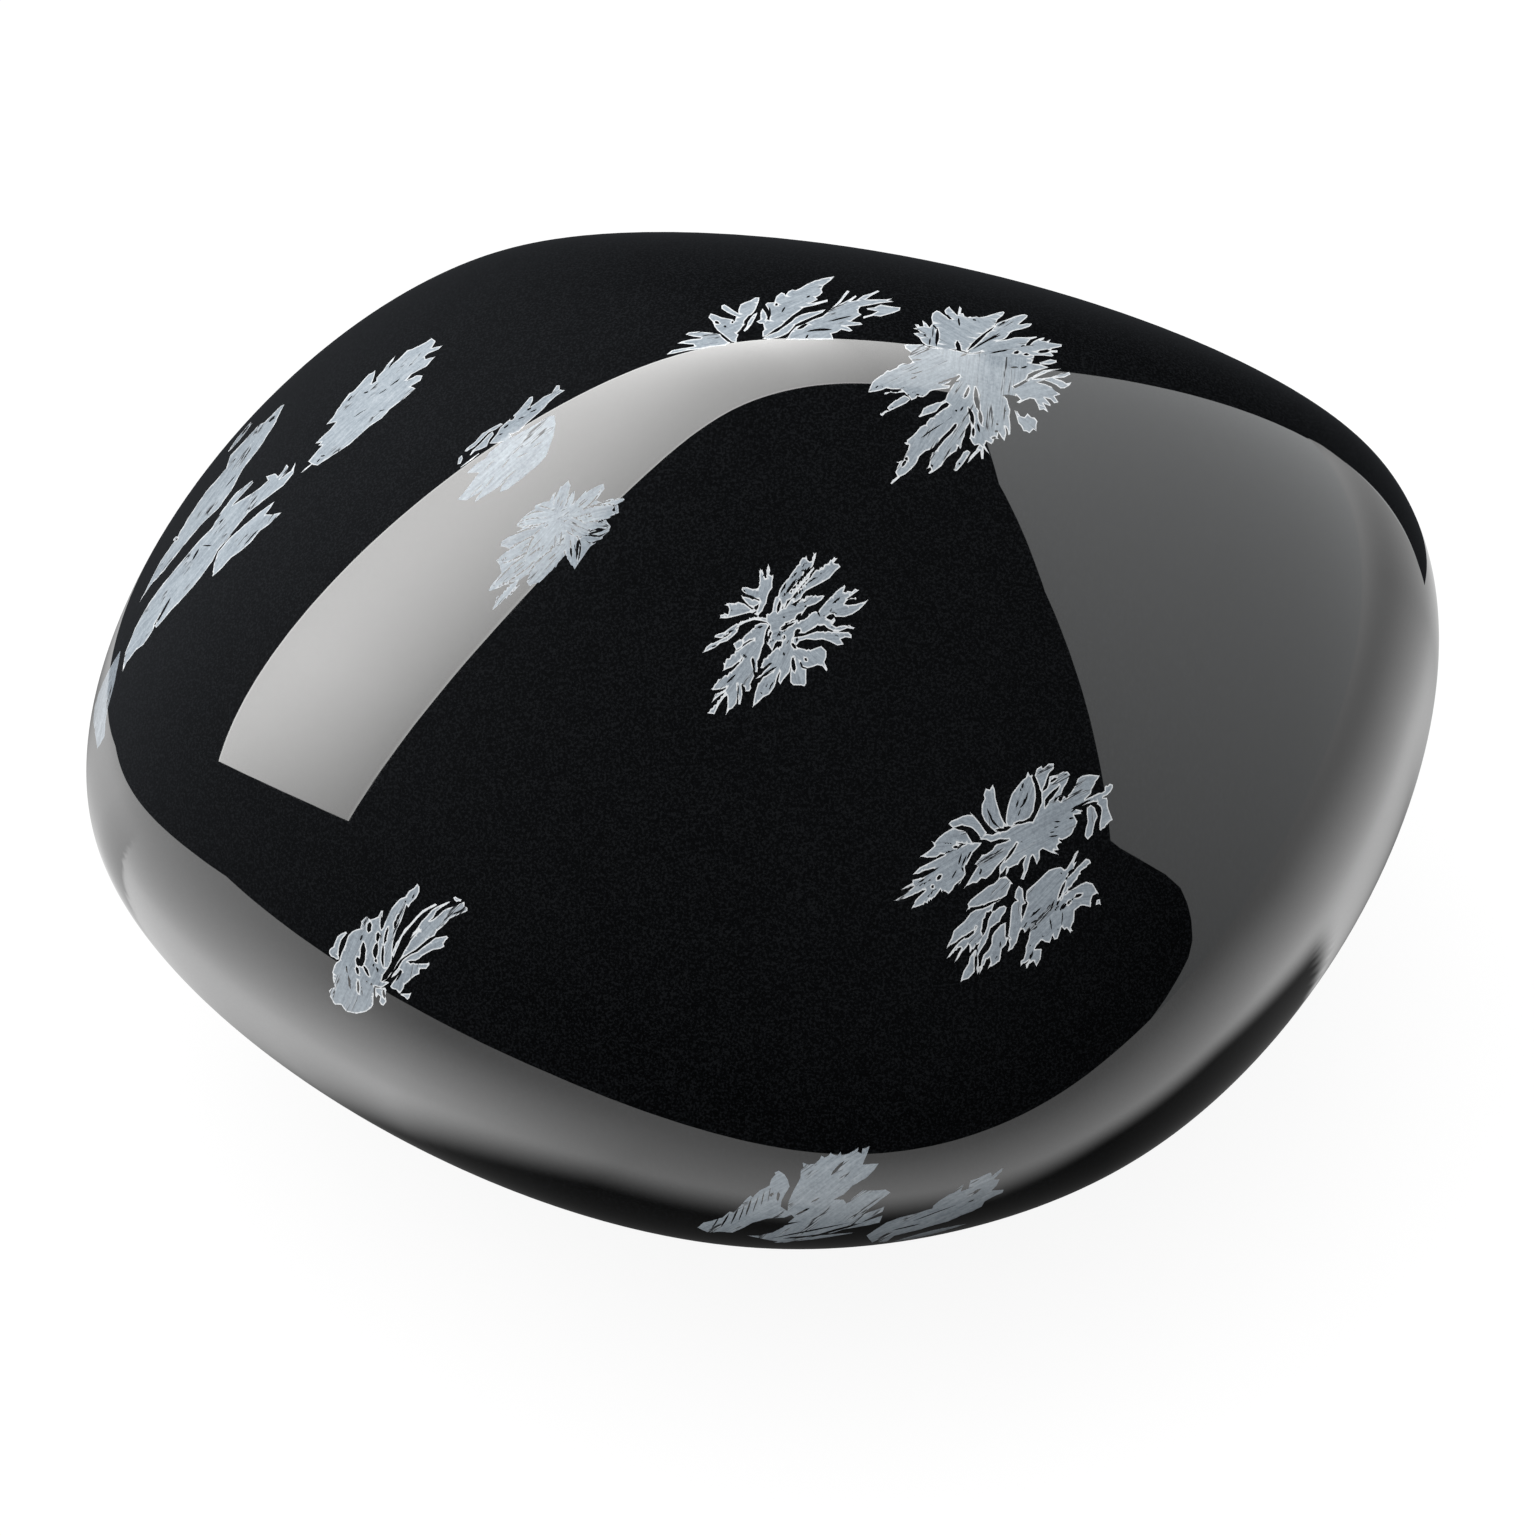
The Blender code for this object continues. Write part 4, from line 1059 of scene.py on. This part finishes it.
def mark_faces(snowflakes, points, normals, faces):
    """Whether each face is crystal, whether it is a vein, how strong the rim is at each point, and
    where each face's corners are on their crystal, with its tone."""
    crystal, vein = np.zeros((2, len(faces)), bool)
    strength = np.zeros(len(points))
    grain = np.zeros((len(faces), 3, 3))
    centres = points[faces].mean(axis=1)
    centre_normals = unit(normals[faces].sum(axis=1))
    for snowflake in snowflakes:
        sheet = snowflake.sheet
        corners = np.vstack([outline for outline, _, _ in snowflake.painted])
        spots = sheet.places(centres)
        near = (spots > corners.min(axis=0)).all(axis=1) & (spots < corners.max(axis=0)).all(axis=1)
        index = np.nonzero(sheet.faces(centres, centre_normals) & near)[0]
        corners = sheet.places(points[faces[index]].reshape(-1, 3)).reshape(-1, 3, 2)
        top = snowflake.shown(corners.mean(axis=1))
        vein[index[top == VEIN]] = True
        for number, (root, run, tone) in enumerate(snowflake.crystals):
            own = top == number
            if not own.any():
                continue
            places = corners[own].reshape(-1, 2)
            ahead = run / np.hypot(*run)
            along = (places - root) @ ahead
            across = (places - root) @ np.array([-ahead[1], ahead[0]])
            chosen = index[own]
            crystal[chosen] = True
            strength[faces[chosen]] = snowflake.rim
            grain[chosen] = np.column_stack([along, across, np.full(len(places), tone)]).reshape(-1, 3, 3)
    return crystal, vein, strength, grain


# Places on each edge of a crystal that a point's distance from it is measured to.
BORDER_PLACES = 7


def border_distance(points, faces, marked):
    """Distance in pixels from each point of the marked faces to the nearest edge of what is marked."""
    edges = np.sort(np.vstack([faces[:, [0, 1]], faces[:, [1, 2]], faces[:, [2, 0]]]), axis=1)
    # Sorted, the two faces of each edge lie next to each other.
    order = np.lexsort(edges.T)
    edges = edges[order]
    side = np.tile(marked, 3)[order]
    border = edges[::2][side[::2] != side[1::2]]
    shares = np.linspace(0, 1, BORDER_PLACES)[None, :, None]
    spots = points[border[:, :1]] * (1 - shares) + points[border[:, 1:]] * shares
    tree = KDTree(spots.shape[0] * spots.shape[1])
    for number, spot in enumerate(spots.reshape(-1, 3).tolist()):
        tree.insert(spot, number)
    tree.balance()
    distance = np.zeros(len(points))
    for number in np.unique(faces[marked]):
        distance[number] = tree.find(points[number])[2]
    return distance * PIXELS_PER_MM


# Where the flat places of the mesh's halves have their middles across, how far they reach across and
# along, and the lowest height that they go by.
BAKE_MIDDLES = (0.25, 0.75)
BAKE_REACH = (0.235, 0.47)
BAKE_LOWEST = -0.9


def bake_places(points, faces):
    """Flat places for the mesh: its upper and lower halves side by side, each seen from its end."""
    centre = np.array([0.0, 0.0, -MIDDLE[2]])
    heading = unit(points - centre)
    upper = heading[faces].mean(axis=1)[:, 2] >= 0
    corner = heading[faces]
    height = np.where(upper[:, None], corner[..., 2], -corner[..., 2])
    scale = 1 / np.sqrt(1 + np.clip(height, BAKE_LOWEST, 1))
    side = np.where(upper, *BAKE_MIDDLES)[:, None]
    mirror = np.where(upper, 1.0, -1.0)[:, None]
    across = side + BAKE_REACH[0] * mirror * corner[..., 0] * scale
    along = 0.5 + BAKE_REACH[1] * corner[..., 1] * scale
    return np.stack([across, along], axis=-1)


def make_stone_mesh(snowflakes, materials):
    directions, faces = cut_mesh(snowflakes)
    points, normals = stone_surface(directions)
    crystal, vein, strength, grain = mark_faces(snowflakes, points, normals, faces)
    core = np.clip(border_distance(points, faces, crystal | vein) / RIM, 0, 1)
    rim = strength * (1 - core)
    mesh = bpy.data.meshes.new("polished_stone")
    mesh.from_pydata((points * MM).tolist(), [], faces.tolist())
    for material in materials:
        mesh.materials.append(material)
    mesh.polygons.foreach_set("material_index", crystal.astype(np.int32))
    mesh.attributes.new("rim", "FLOAT", "POINT").data.foreach_set("value", rim)
    mesh.attributes.new("grain", "FLOAT_VECTOR", "CORNER").data.foreach_set("vector", grain.ravel())
    places = mesh.uv_layers.new(name="OFBake")
    places.data.foreach_set("uv", bake_places(points, faces).ravel())
    mesh.shade_smooth()
    mesh.normals_split_custom_set_from_vertices(normals.tolist())
    mesh.update()
    return mesh


def node(tree, kind, **values):
    """A new node with these inputs or settings."""
    made = tree.nodes.new(kind)
    for name, value in values.items():
        label = name.replace("_", " ").title()
        if label in made.inputs:
            made.inputs[label].default_value = value
        else:
            setattr(made, name, value)
    return made


def noise(tree, source, scale, detail, roughness):
    made = node(tree, "ShaderNodeTexNoise", scale=scale, detail=detail, roughness=roughness)
    tree.links.new(source, made.inputs["Vector"])
    return made.outputs["Fac"]


def ramp(tree, source, stops):
    """Colours by a number from 0 to 1: stops are (number, colour)."""
    made = tree.nodes.new("ShaderNodeValToRGB")
    points = made.color_ramp.elements
    points[0].position, points[0].color = stops[0][0], (*stops[0][1], 1)
    points[1].position, points[1].color = stops[-1][0], (*stops[-1][1], 1)
    for place, colour in stops[1:-1]:
        points.new(place).color = (*colour, 1)
    tree.links.new(source, made.inputs["Fac"])
    return made.outputs["Color"]


def vector_math(tree, operation, source, value):
    """The source's vector worked on with this fixed one."""
    made = tree.nodes.new("ShaderNodeVectorMath")
    made.operation = operation
    made.inputs[1].default_value = value
    tree.links.new(source, made.inputs[0])
    return made.outputs["Value" if operation == "DOT_PRODUCT" else "Vector"]


def blended(tree, share, first, second):
    """The first colour, or the second where share is 1."""
    made = tree.nodes.new("ShaderNodeMix")
    made.data_type = "RGBA"
    tree.links.new(share, made.inputs["Factor"])
    for name, colour in (("A", first), ("B", second)):
        socket = next(s for s in made.inputs if s.name == name and s.type == "RGBA")
        tree.links.new(colour, socket)
    return next(s for s in made.outputs if s.type == "RGBA")


def to_range(tree, source, low, high, start=0.0, end=1.0):
    made = tree.nodes.new("ShaderNodeMapRange")
    made.inputs["From Min"].default_value = start
    made.inputs["From Max"].default_value = end
    made.inputs["To Min"].default_value = low
    made.inputs["To Max"].default_value = high
    tree.links.new(source, made.inputs["Value"])
    return made.outputs["Result"]


def math_node(tree, operation, first, second):
    made = tree.nodes.new("ShaderNodeMath")
    made.operation = operation
    for socket, value in zip(made.inputs, (first, second)):
        if isinstance(value, (int, float)):
            socket.default_value = value
        else:
            tree.links.new(value, socket)
    return made.outputs[0]


def mixed(tree, first, first_share, second, second_share):
    """The sum of these shares of two numbers."""
    return math_node(tree, "ADD", math_node(tree, "MULTIPLY", first, first_share),
                     math_node(tree, "MULTIPLY", second, second_share))


def along_crystal(tree, grain, pattern):
    """Noise that is stretched along each crystal."""
    speeds, detail, roughness = pattern
    return noise(tree, vector_math(tree, "MULTIPLY", grain, speeds), 1.0, detail, roughness)


def new_material(name):
    """A material, its nodes and its shader."""
    material = bpy.data.materials.new(name)
    material.use_nodes = True
    return material, material.node_tree, material.node_tree.nodes["Principled BSDF"]


def added(name, data):
    """A new object in the scene."""
    made = bpy.data.objects.new(name, data)
    bpy.context.scene.collection.objects.link(made)
    return made


GLASS_IOR = 1.49
CRYSTAL_SPECULAR = 0.24
# Noise on the stone, as (scale, detail, roughness).
GLASS_GRAIN = (12000.0, 2.0, 0.7)
GLASS_CLOUDS = (700.0, 3.0, 0.6)
CRYSTAL_SPECKLE = (9000.0, 2.0, 0.7)
# How much of the glass's colour follows its grain, and the rest its clouds. The same for the
# crystals' streaks and speckle.
GRAIN_SHARE, CLOUD_SHARE = 0.93, 0.07
STREAK_SHARE, SPECKLE_SHARE = 0.6, 0.4
# Patterns along a crystal: how fast each changes along it, across it and from crystal to crystal, and
# its detail and roughness.
STREAKS = (0.035, 0.5, 37.0), 3.0, 0.7
STRANDS = (0.018, 0.24, 53.0), 2.0, 0.5
SLIT_PLACES = (0.03, 0.09, 71.0), 1.0, 0.5


def make_glass():
    """Black volcanic glass under a polish: fine grey grain in the black, and hardly any haze."""
    material, tree, shader = new_material("polished_obsidian")
    shader.inputs["IOR"].default_value = GLASS_IOR
    place = tree.nodes.new("ShaderNodeTexCoord").outputs["Object"]
    grain = noise(tree, place, *GLASS_GRAIN)
    clouds = noise(tree, place, *GLASS_CLOUDS)
    colour = ramp(tree, mixed(tree, grain, GRAIN_SHARE, clouds, CLOUD_SHARE), [
        (0.41, (0.0001, 0.0001, 0.0001)),
        (0.5, (0.0009, 0.0011, 0.0014)),
        (0.6, (0.0075, 0.0082, 0.0092)),
    ])
    tree.links.new(colour, shader.inputs["Base Color"])
    haze = to_range(tree, clouds, 0.006, 0.02, 0.35, 0.65)
    tree.links.new(haze, shader.inputs["Roughness"])
    return material


def make_crystal():
    """Pale crystal, polished flush: blue-grey with fine strands, bright at its rims."""
    material, tree, shader = new_material("snowflake_crystal")
    shader.inputs["IOR"].default_value = GLASS_IOR
    shader.inputs["Specular IOR Level"].default_value = CRYSTAL_SPECULAR
    grain = node(tree, "ShaderNodeAttribute", attribute_name="grain").outputs["Vector"]
    edge = node(tree, "ShaderNodeAttribute", attribute_name="rim")
    place = tree.nodes.new("ShaderNodeTexCoord").outputs["Object"]
    speckle = noise(tree, place, *CRYSTAL_SPECKLE)

    # Strands run along each crystal: its own place is (along, across, tone), in photograph pixels.
    streaks = along_crystal(tree, grain, STREAKS)
    split = tree.nodes.new("ShaderNodeSeparateXYZ")
    tree.links.new(grain, split.inputs[0])
    tone = to_range(tree, split.outputs["Z"], -0.12, 0.12)
    both = mixed(tree, streaks, STREAK_SHARE, speckle, SPECKLE_SHARE)
    core = ramp(tree, math_node(tree, "ADD", both, tone), [
        (0.3, (0.2, 0.228, 0.257)),
        (0.44, (0.28, 0.32, 0.362)),
        (0.58, (0.37, 0.422, 0.468)),
        (0.74, (0.49, 0.54, 0.585)),
    ])
    # Hair slits follow the lines where a second strand pattern passes its middle, in some places only.
    strands = along_crystal(tree, grain, STRANDS)
    places = along_crystal(tree, grain, SLIT_PLACES)
    off = math_node(tree, "ABSOLUTE", math_node(tree, "SUBTRACT", strands, 0.5), 0.0)
    shown = to_range(tree, places, 0.0, 1.0, 0.56, 0.64)
    slit = math_node(tree, "MULTIPLY", to_range(tree, off, 1.0, 0.0, 0.014, 0.034), shown)
    ridge = math_node(tree, "MULTIPLY", to_range(tree, off, 0.2, 0.0, 0.045, 0.09), shown)

    pale = ramp(tree, speckle, [(0.35, (0.74, 0.775, 0.8)), (0.65, (0.92, 0.94, 0.955))])
    shine = math_node(tree, "MAXIMUM", to_range(tree, edge.outputs["Fac"], 0.0, 1.0, 0.3, 0.7), ridge)
    lit = blended(tree, shine, core, pale)
    dark = ramp(tree, speckle, [(0.3, (0.015, 0.017, 0.02)), (0.7, (0.06, 0.066, 0.074))])
    colour = blended(tree, slit, lit, dark)
    tree.links.new(colour, shader.inputs["Base Color"])
    rough = to_range(tree, speckle, 0.05, 0.12, 0.3, 0.7)
    tree.links.new(rough, shader.inputs["Roughness"])
    return material


def glow_material(name, colour):
    """Light whose strength is the mesh's own "glow" at each point."""
    material, tree, _ = new_material(name)
    tree.nodes.clear()
    strength = node(tree, "ShaderNodeAttribute", attribute_name="glow")
    light = node(tree, "ShaderNodeEmission", color=(*colour, 1))
    out = tree.nodes.new("ShaderNodeOutputMaterial")
    tree.links.new(strength.outputs["Fac"], light.inputs["Strength"])
    tree.links.new(light.outputs["Emission"], out.inputs["Surface"])
    material.cycles.emission_sampling = "NONE"
    return material


def make_reflected(name, grid, glow, colour):
    """A sheet of light that shows only in reflections: grid is rows of points, glow is at each."""
    rows, columns = glow.shape
    index = np.arange(rows * columns).reshape(rows, columns)
    faces = np.stack([index[:-1, :-1], index[1:, :-1], index[1:, 1:], index[:-1, 1:]], axis=-1)
    mesh = bpy.data.meshes.new(name)
    mesh.from_pydata((grid.reshape(-1, 3) * MM).tolist(), [], faces.reshape(-1, 4).tolist())
    mesh.attributes.new("glow", "FLOAT", "POINT").data.foreach_set("value", glow.ravel())
    mesh.materials.append(glow_material(name, colour))
    sheet = added(name, mesh)
    sheet.visible_camera = False
    sheet.visible_diffuse = False
    sheet.visible_shadow = False
    sheet.visible_transmission = False


def smooth(values):
    held = np.clip(values, 0, 1)
    return held * held * (3 - 2 * held)


# The studio, as the stone reflects it. Bearings are degrees from straight away from the camera
# towards the right. The lights hang this far from the stone's middle.
LIGHT_DISTANCE = 500.0
LIGHT_CENTRE = -MIDDLE

# A long strip light, up on the left: bearing, height and roll in degrees, then its ends and half
# width as shares of the distance.
STRIP_BEARING = -62.57
STRIP_HEIGHT = 60.57
STRIP_ROLL = -40.34
STRIP_ENDS = (-1.6, 1.41)
STRIP_HALF = 0.33
# Its glow by its place along it: at its upper edge, its middle and its lower edge.
STRIP_GLOW = [
    (-1.6, 6.5, 5.5, 4.0),
    (-0.9, 9.6, 8.4, 5.5),
    (-0.75, 13.5, 10.2, 6.5),
    (-0.56, 16.3, 12.0, 7.6),
    (-0.2, 14.5, 11.0, 8.3),
    (0.1, 12.5, 11.4, 8.2),
    (0.4, 11.3, 11.6, 8.0),
    (0.85, 11.4, 11.8, 7.0),
    (1.1, 11.0, 10.3, 6.3),
    (1.41, 9.8, 8.0, 5.5),
]
STRIP_GLOW_EDGE = 0.31
# Its tube shows as a thin brighter line along each long edge, from this share outwards.
STRIP_BRIGHT_FROM = 0.325
STRIP_BRIGHT = 1.4
STRIP_COLOUR = (1.0, 0.995, 0.985)
# How many points its sheet has along it and across it.
STRIP_POINTS = (61, 67)


def compass(bearing, height):
    bearing, height = math.radians(bearing), math.radians(height)
    return np.array([
        math.cos(height) * math.sin(bearing), math.cos(height) * math.cos(bearing), math.sin(height)
    ])


def make_strip():
    out = compass(STRIP_BEARING, STRIP_HEIGHT)
    level = unit(np.cross((0.0, 0.0, 1.0), out))
    steep = np.cross(out, level)
    roll = math.radians(STRIP_ROLL)
    long = math.cos(roll) * level + math.sin(roll) * steep
    wide = np.cross(out, long)
    along = np.linspace(*STRIP_ENDS, STRIP_POINTS[0])[:, None]
    across = np.linspace(-STRIP_HALF, STRIP_HALF, STRIP_POINTS[1])[None, :]
    grid = LIGHT_CENTRE + LIGHT_DISTANCE * (out + along[..., None] * long + across[..., None] * wide)
    settings = np.array(STRIP_GLOW)
    upper, middle, lower = (np.interp(along, settings[:, 0], settings[:, side]) for side in (1, 2, 3))
    share = across / STRIP_GLOW_EDGE
    glow = middle + share * (lower - upper) / 2 + share**2 * ((lower + upper) / 2 - middle)
    glow = glow * np.where(np.abs(across) > STRIP_BRIGHT_FROM, STRIP_BRIGHT, 1.0)
    make_reflected("strip_light", grid, glow, STRIP_COLOUR)


# A tall panel on the right, facing its bearing. Places on it are (tangent of the bearing from there,
# height over the distance there). Its left edge is straight, and its right edge is (height, place).
PANEL_BEARING = 80.0
PANEL_LEFT = -0.8
PANEL_HEIGHTS = (-1.5, 1.62)
PANEL_RIGHT = [
    (-1.5, 0.85), (-0.03, 0.827), (0, 0.751), (0.039, 0.679), (0.065, 0.642), (0.11, 0.622),
    (0.183, 0.618), (0.253, 0.623), (0.328, 0.637), (0.431, 0.682), (0.525, 0.734), (0.621, 0.788),
    (0.72, 0.846), (0.794, 0.883), (1.38, 0.5), (1.62, 0.18),
]
# Glow level with the stone, and how it grows with height and away from the camera, for a degree.
PANEL_GLOW = 1.42
PANEL_GLOW_UP = 0.022
PANEL_GLOW_AWAY = 0.007
PANEL_LEAST_GLOW = 0.5
PANEL_COLOUR = (0.97, 0.99, 1.0)
# How many points its sheet has up it and across it.
PANEL_POINTS = (131, 41)


def make_panel():
    out = compass(PANEL_BEARING, 0.0)
    side = np.array([out[1], -out[0], 0.0])
    corners = np.array(PANEL_RIGHT)
    even = np.linspace(*PANEL_HEIGHTS, PANEL_POINTS[0])
    heights = np.unique(np.concatenate([even, corners[:, 0]]))[:, None]
    right = np.interp(heights, *corners.T)
    across = PANEL_LEFT + (right - PANEL_LEFT) * np.linspace(0, 1, PANEL_POINTS[1])[None, :]
    heights = np.broadcast_to(heights, across.shape)
    grid = LIGHT_CENTRE + LIGHT_DISTANCE * (
        out + across[..., None] * side + heights[..., None] * np.array([0.0, 0.0, 1.0])
    )
    bearing = np.degrees(np.arctan(across))
    lift = np.degrees(np.arctan2(heights, np.hypot(1.0, across)))
    glow = (PANEL_GLOW + PANEL_GLOW_UP * lift) * (1 - PANEL_GLOW_AWAY * bearing)
    make_reflected("side_panel", grid, np.maximum(glow, PANEL_LEAST_GLOW), PANEL_COLOUR)


# The lit table, as the stone reflects it: its outline, and by the bearing from the stone, in degrees
# from +X towards +Y: where its shade ends, how far it takes to be lit, its glow, and its glow far off.
TABLE_MIDDLE = np.array([0.0, -30.0])
TABLE_OUTLINE = [
    (-72, 23), (43, 27), (224, 250), (520, 600), (520, -400), (-340, -400), (-340, -85),
]
TABLE_GLOW = [
    (-190, 1.5, 74, 3.25, 3.2, 0.16),
    (-178, 16.5, 26, 3.55, 3.1, 0.16),
    (-175, 16.5, 24, 3.55, 3.1, 0.16),
    (-155, 17, 18, 4.4, 2.6, 0.12),
    (-140, 19, 13, 4.6, 1.5, 0.08),
    (-115, 24.5, 13, 2.6, 1.7, 0.05),
    (-90, 23.5, 12, 2.5, 1.5, 0.05),
    (-63, 23.5, 12, 2.5, 1.4, 0.05),
    (-46, 29, 10, 2.7, 1.3, 0.05),
    (-27, 31.5, 9, 2.8, 1.3, 0.1),
    (-17, 30.5, 9, 3.0, 1.3, 0.12),
    (-9, 29.5, 9, 2.7, 1.1, 0.12),
    (-5, 16, 22, 2.6, 1.2, 0.13),
    (15, 24, 22, 2.0, 0.9, 0.14),
    (28, 20, 25, 0.9, 0.8, 0.14),
    (50, 20, 25, 0.9, 1.1, 0.14),
    (152, 30, 25, 1.6, 1.6, 0.14),
    (170, 1.5, 74, 3.25, 3.2, 0.16),
]
TABLE_FADE = 45.0
TABLE_FADE_START = 40.0
TABLE_GLOW_HEIGHT = -0.01
# Rows of the sheet: this far apart near the stone, out to FINE_REACH, then this many to its outline,
# which get farther apart by this power.
FINE_STEP = 1.0
FINE_REACH = 72.0
FAR_ROWS = 40
FAR_POWER = 1.5
# Between these distances, and between these bearings, the table's far glow turns into the panel's.
HORIZON_NEAR, HORIZON_FAR = 90.0, 480.0
HORIZON_BEARINGS = (-30.0, -18.0, 44.0, 52.0)


def outline_reach(turns, middle, outline):
    """How far the outline is from the middle in each direction."""
    corners = np.array(outline, float) - middle
    reach = np.full(len(turns), np.inf)
    for start, stop in zip(corners, np.roll(corners, -1, axis=0)):
        run = stop - start
        heading = np.column_stack([np.cos(turns), np.sin(turns)])
        cross = heading[:, 0] * run[1] - heading[:, 1] * run[0]
        cross = np.where(np.abs(cross) < TINY, TINY, cross)
        far = (start[0] * run[1] - start[1] * run[0]) / cross
        share = (start[0] * heading[:, 1] - start[1] * heading[:, 0]) / cross
        hit = (far > 0) & (share >= 0) & (share <= 1)
        reach = np.where(hit, np.minimum(reach, far), reach)
    return reach


def make_table_glow():
    turns = np.radians(np.linspace(0, 360, 361))
    turns = np.sort(np.append(turns, [
        math.atan2(y - TABLE_MIDDLE[1], x - TABLE_MIDDLE[0]) % (2 * math.pi) for x, y in TABLE_OUTLINE
    ]))
    reach = outline_reach(turns, TABLE_MIDDLE, TABLE_OUTLINE)
    fine = np.arange(FINE_STEP, FINE_REACH, FINE_STEP)[:, None]
    far_off = np.linspace(0, 1, FAR_ROWS)[:, None] ** FAR_POWER
    rows = np.vstack([np.minimum(fine, reach), FINE_REACH + far_off * np.maximum(reach - FINE_REACH, 0)])
    rows = np.minimum(rows, reach)
    across = TABLE_MIDDLE[0] + rows * np.cos(turns)
    along = TABLE_MIDDLE[1] + rows * np.sin(turns)
    grid = np.stack([across, along, np.full_like(across, TABLE_GLOW_HEIGHT)], axis=-1)
    far = np.hypot(across, along)
    bearing = np.degrees(np.arctan2(along, across))
    settings = np.array(TABLE_GLOW)
    shade_end, rise, near, off, shade = (
        np.interp(bearing, settings[:, 0], settings[:, column]) for column in (1, 2, 3, 4, 5)
    )
    horizon = PANEL_GLOW * (1 - PANEL_GLOW_AWAY * (90 - bearing - PANEL_BEARING))
    start, full, fading, stop = HORIZON_BEARINGS
    within = smooth((bearing - start) / (full - start)) * smooth((stop - bearing) / (stop - fading))
    towards = smooth(np.log(np.maximum(far, 1) / HORIZON_NEAR) / math.log(HORIZON_FAR / HORIZON_NEAR))
    off = off + (horizon - off) * within * towards
    fade = np.exp(-np.maximum(far - TABLE_FADE_START, 0) / TABLE_FADE)
    lit = off + (near - off) * fade
    glow = shade + (lit - shade) * smooth((far - shade_end) / rise)
    make_reflected("lit_table", grid, glow, (1.0, 1.0, 1.0))


# The table itself, just under its reflected glow and the stone, and half its side.
TABLE_HEIGHT = -0.02
TABLE_HALF = 3000.0
# The table lights itself partly, so that the stone leaves only a faint shadow on it.
TABLE_COLOUR = (0.13, 0.13, 0.13, 1.0)
TABLE_OWN_GLOW = 0.9
# The soft light from all round: its even part, and the part that grows towards the back left.
DOME_GLOW = 0.93
DOME_LEAN = (-0.72, 0.65, 0.4)
# The dim room that the stone reflects: its least glow, what it gains between these two heights (as
# the sine of the angle), its colour, and its brighter patch's bearing and height, glow and sharpness.
ROOM_GLOW = 0.014
ROOM_TOP_GLOW = (0.018, 0.085)
ROOM_TOP_HEIGHTS = (0.2, 1.0)
ROOM_COLOUR = (0.92, 0.98, 1.08, 1)
PATCH_PLACE = (-72.0, 14.0)
PATCH_GLOW = 0.19
PATCH_POWER = 2.8


def make_table():
    corners = [(-1, -1), (1, -1), (1, 1), (-1, 1)]
    mesh = bpy.data.meshes.new("table")
    mesh.from_pydata([
        (x * TABLE_HALF * MM, y * TABLE_HALF * MM, TABLE_HEIGHT * MM) for x, y in corners
    ], [], [(0, 1, 2, 3)])
    material, _, shader = new_material("table")
    shader.inputs["Base Color"].default_value = TABLE_COLOUR
    shader.inputs["Roughness"].default_value = 1.0
    shader.inputs["Specular IOR Level"].default_value = 0.0
    shader.inputs["Emission Color"].default_value = (1.0, 1.0, 1.0, 1.0)
    shader.inputs["Emission Strength"].default_value = TABLE_OWN_GLOW
    material.cycles.emission_sampling = "NONE"
    mesh.materials.append(material)
    table = added("table", mesh)
    table.visible_glossy = False
    table.visible_diffuse = False


def make_dome():
    """Soft white light from all round, which the stone reflects only as a dim room."""
    world = bpy.data.worlds.new("studio")
    bpy.context.scene.world = world
    world.use_nodes = True
    tree = world.node_tree
    tree.nodes.clear()
    out = tree.nodes.new("ShaderNodeOutputWorld")
    heading = tree.nodes.new("ShaderNodeTexCoord").outputs["Generated"]
    facing = vector_math(tree, "DOT_PRODUCT", heading, tuple(compass(*PATCH_PLACE)))
    towards = math_node(tree, "MAXIMUM", facing, 0.0)
    patch = math_node(tree, "MULTIPLY", math_node(tree, "POWER", towards, PATCH_POWER), PATCH_GLOW)
    split = tree.nodes.new("ShaderNodeSeparateXYZ")
    tree.links.new(heading, split.inputs[0])
    top = to_range(tree, split.outputs["Z"], *ROOM_TOP_GLOW, *ROOM_TOP_HEIGHTS)
    room = math_node(tree, "ADD", math_node(tree, "ADD", patch, top), ROOM_GLOW)
    dim = node(tree, "ShaderNodeBackground", color=ROOM_COLOUR)
    tree.links.new(room, dim.inputs["Strength"])
    white = node(tree, "ShaderNodeBackground", color=(1, 1, 1, 1))
    lean = vector_math(tree, "DOT_PRODUCT", heading, DOME_LEAN)
    soft = math_node(tree, "ADD", lean, DOME_GLOW)
    tree.links.new(math_node(tree, "MAXIMUM", soft, 0.0), white.inputs["Strength"])
    path = tree.nodes.new("ShaderNodeLightPath")
    choose = tree.nodes.new("ShaderNodeMixShader")
    tree.links.new(path.outputs["Is Glossy Ray"], choose.inputs[0])
    tree.links.new(white.outputs[0], choose.inputs[1])
    tree.links.new(dim.outputs[0], choose.inputs[2])
    tree.links.new(choose.outputs[0], out.inputs["Surface"])


def make_camera():
    data = bpy.data.cameras.new("camera")
    data.lens = LENS
    data.sensor_width = SENSOR
    data.clip_start = 10 * MM
    camera = added("camera", data)
    camera.location = CameraSheet.eye * MM
    camera.rotation_euler = (math.pi / 2 - PITCH, 0.0, 0.0)
    bpy.context.scene.camera = camera


def main():
    bpy.context.scene.view_settings.view_transform = "Standard"
    make_camera()
    snowflakes = make_snowflakes(Finder())
    mesh = make_stone_mesh(snowflakes, [make_glass(), make_crystal()])
    stone = added("polished_stone", mesh)
    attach(stone, "root")
    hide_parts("stone")
    make_strip()
    make_panel()
    make_table_glow()
    make_table()
    make_dome()


main()
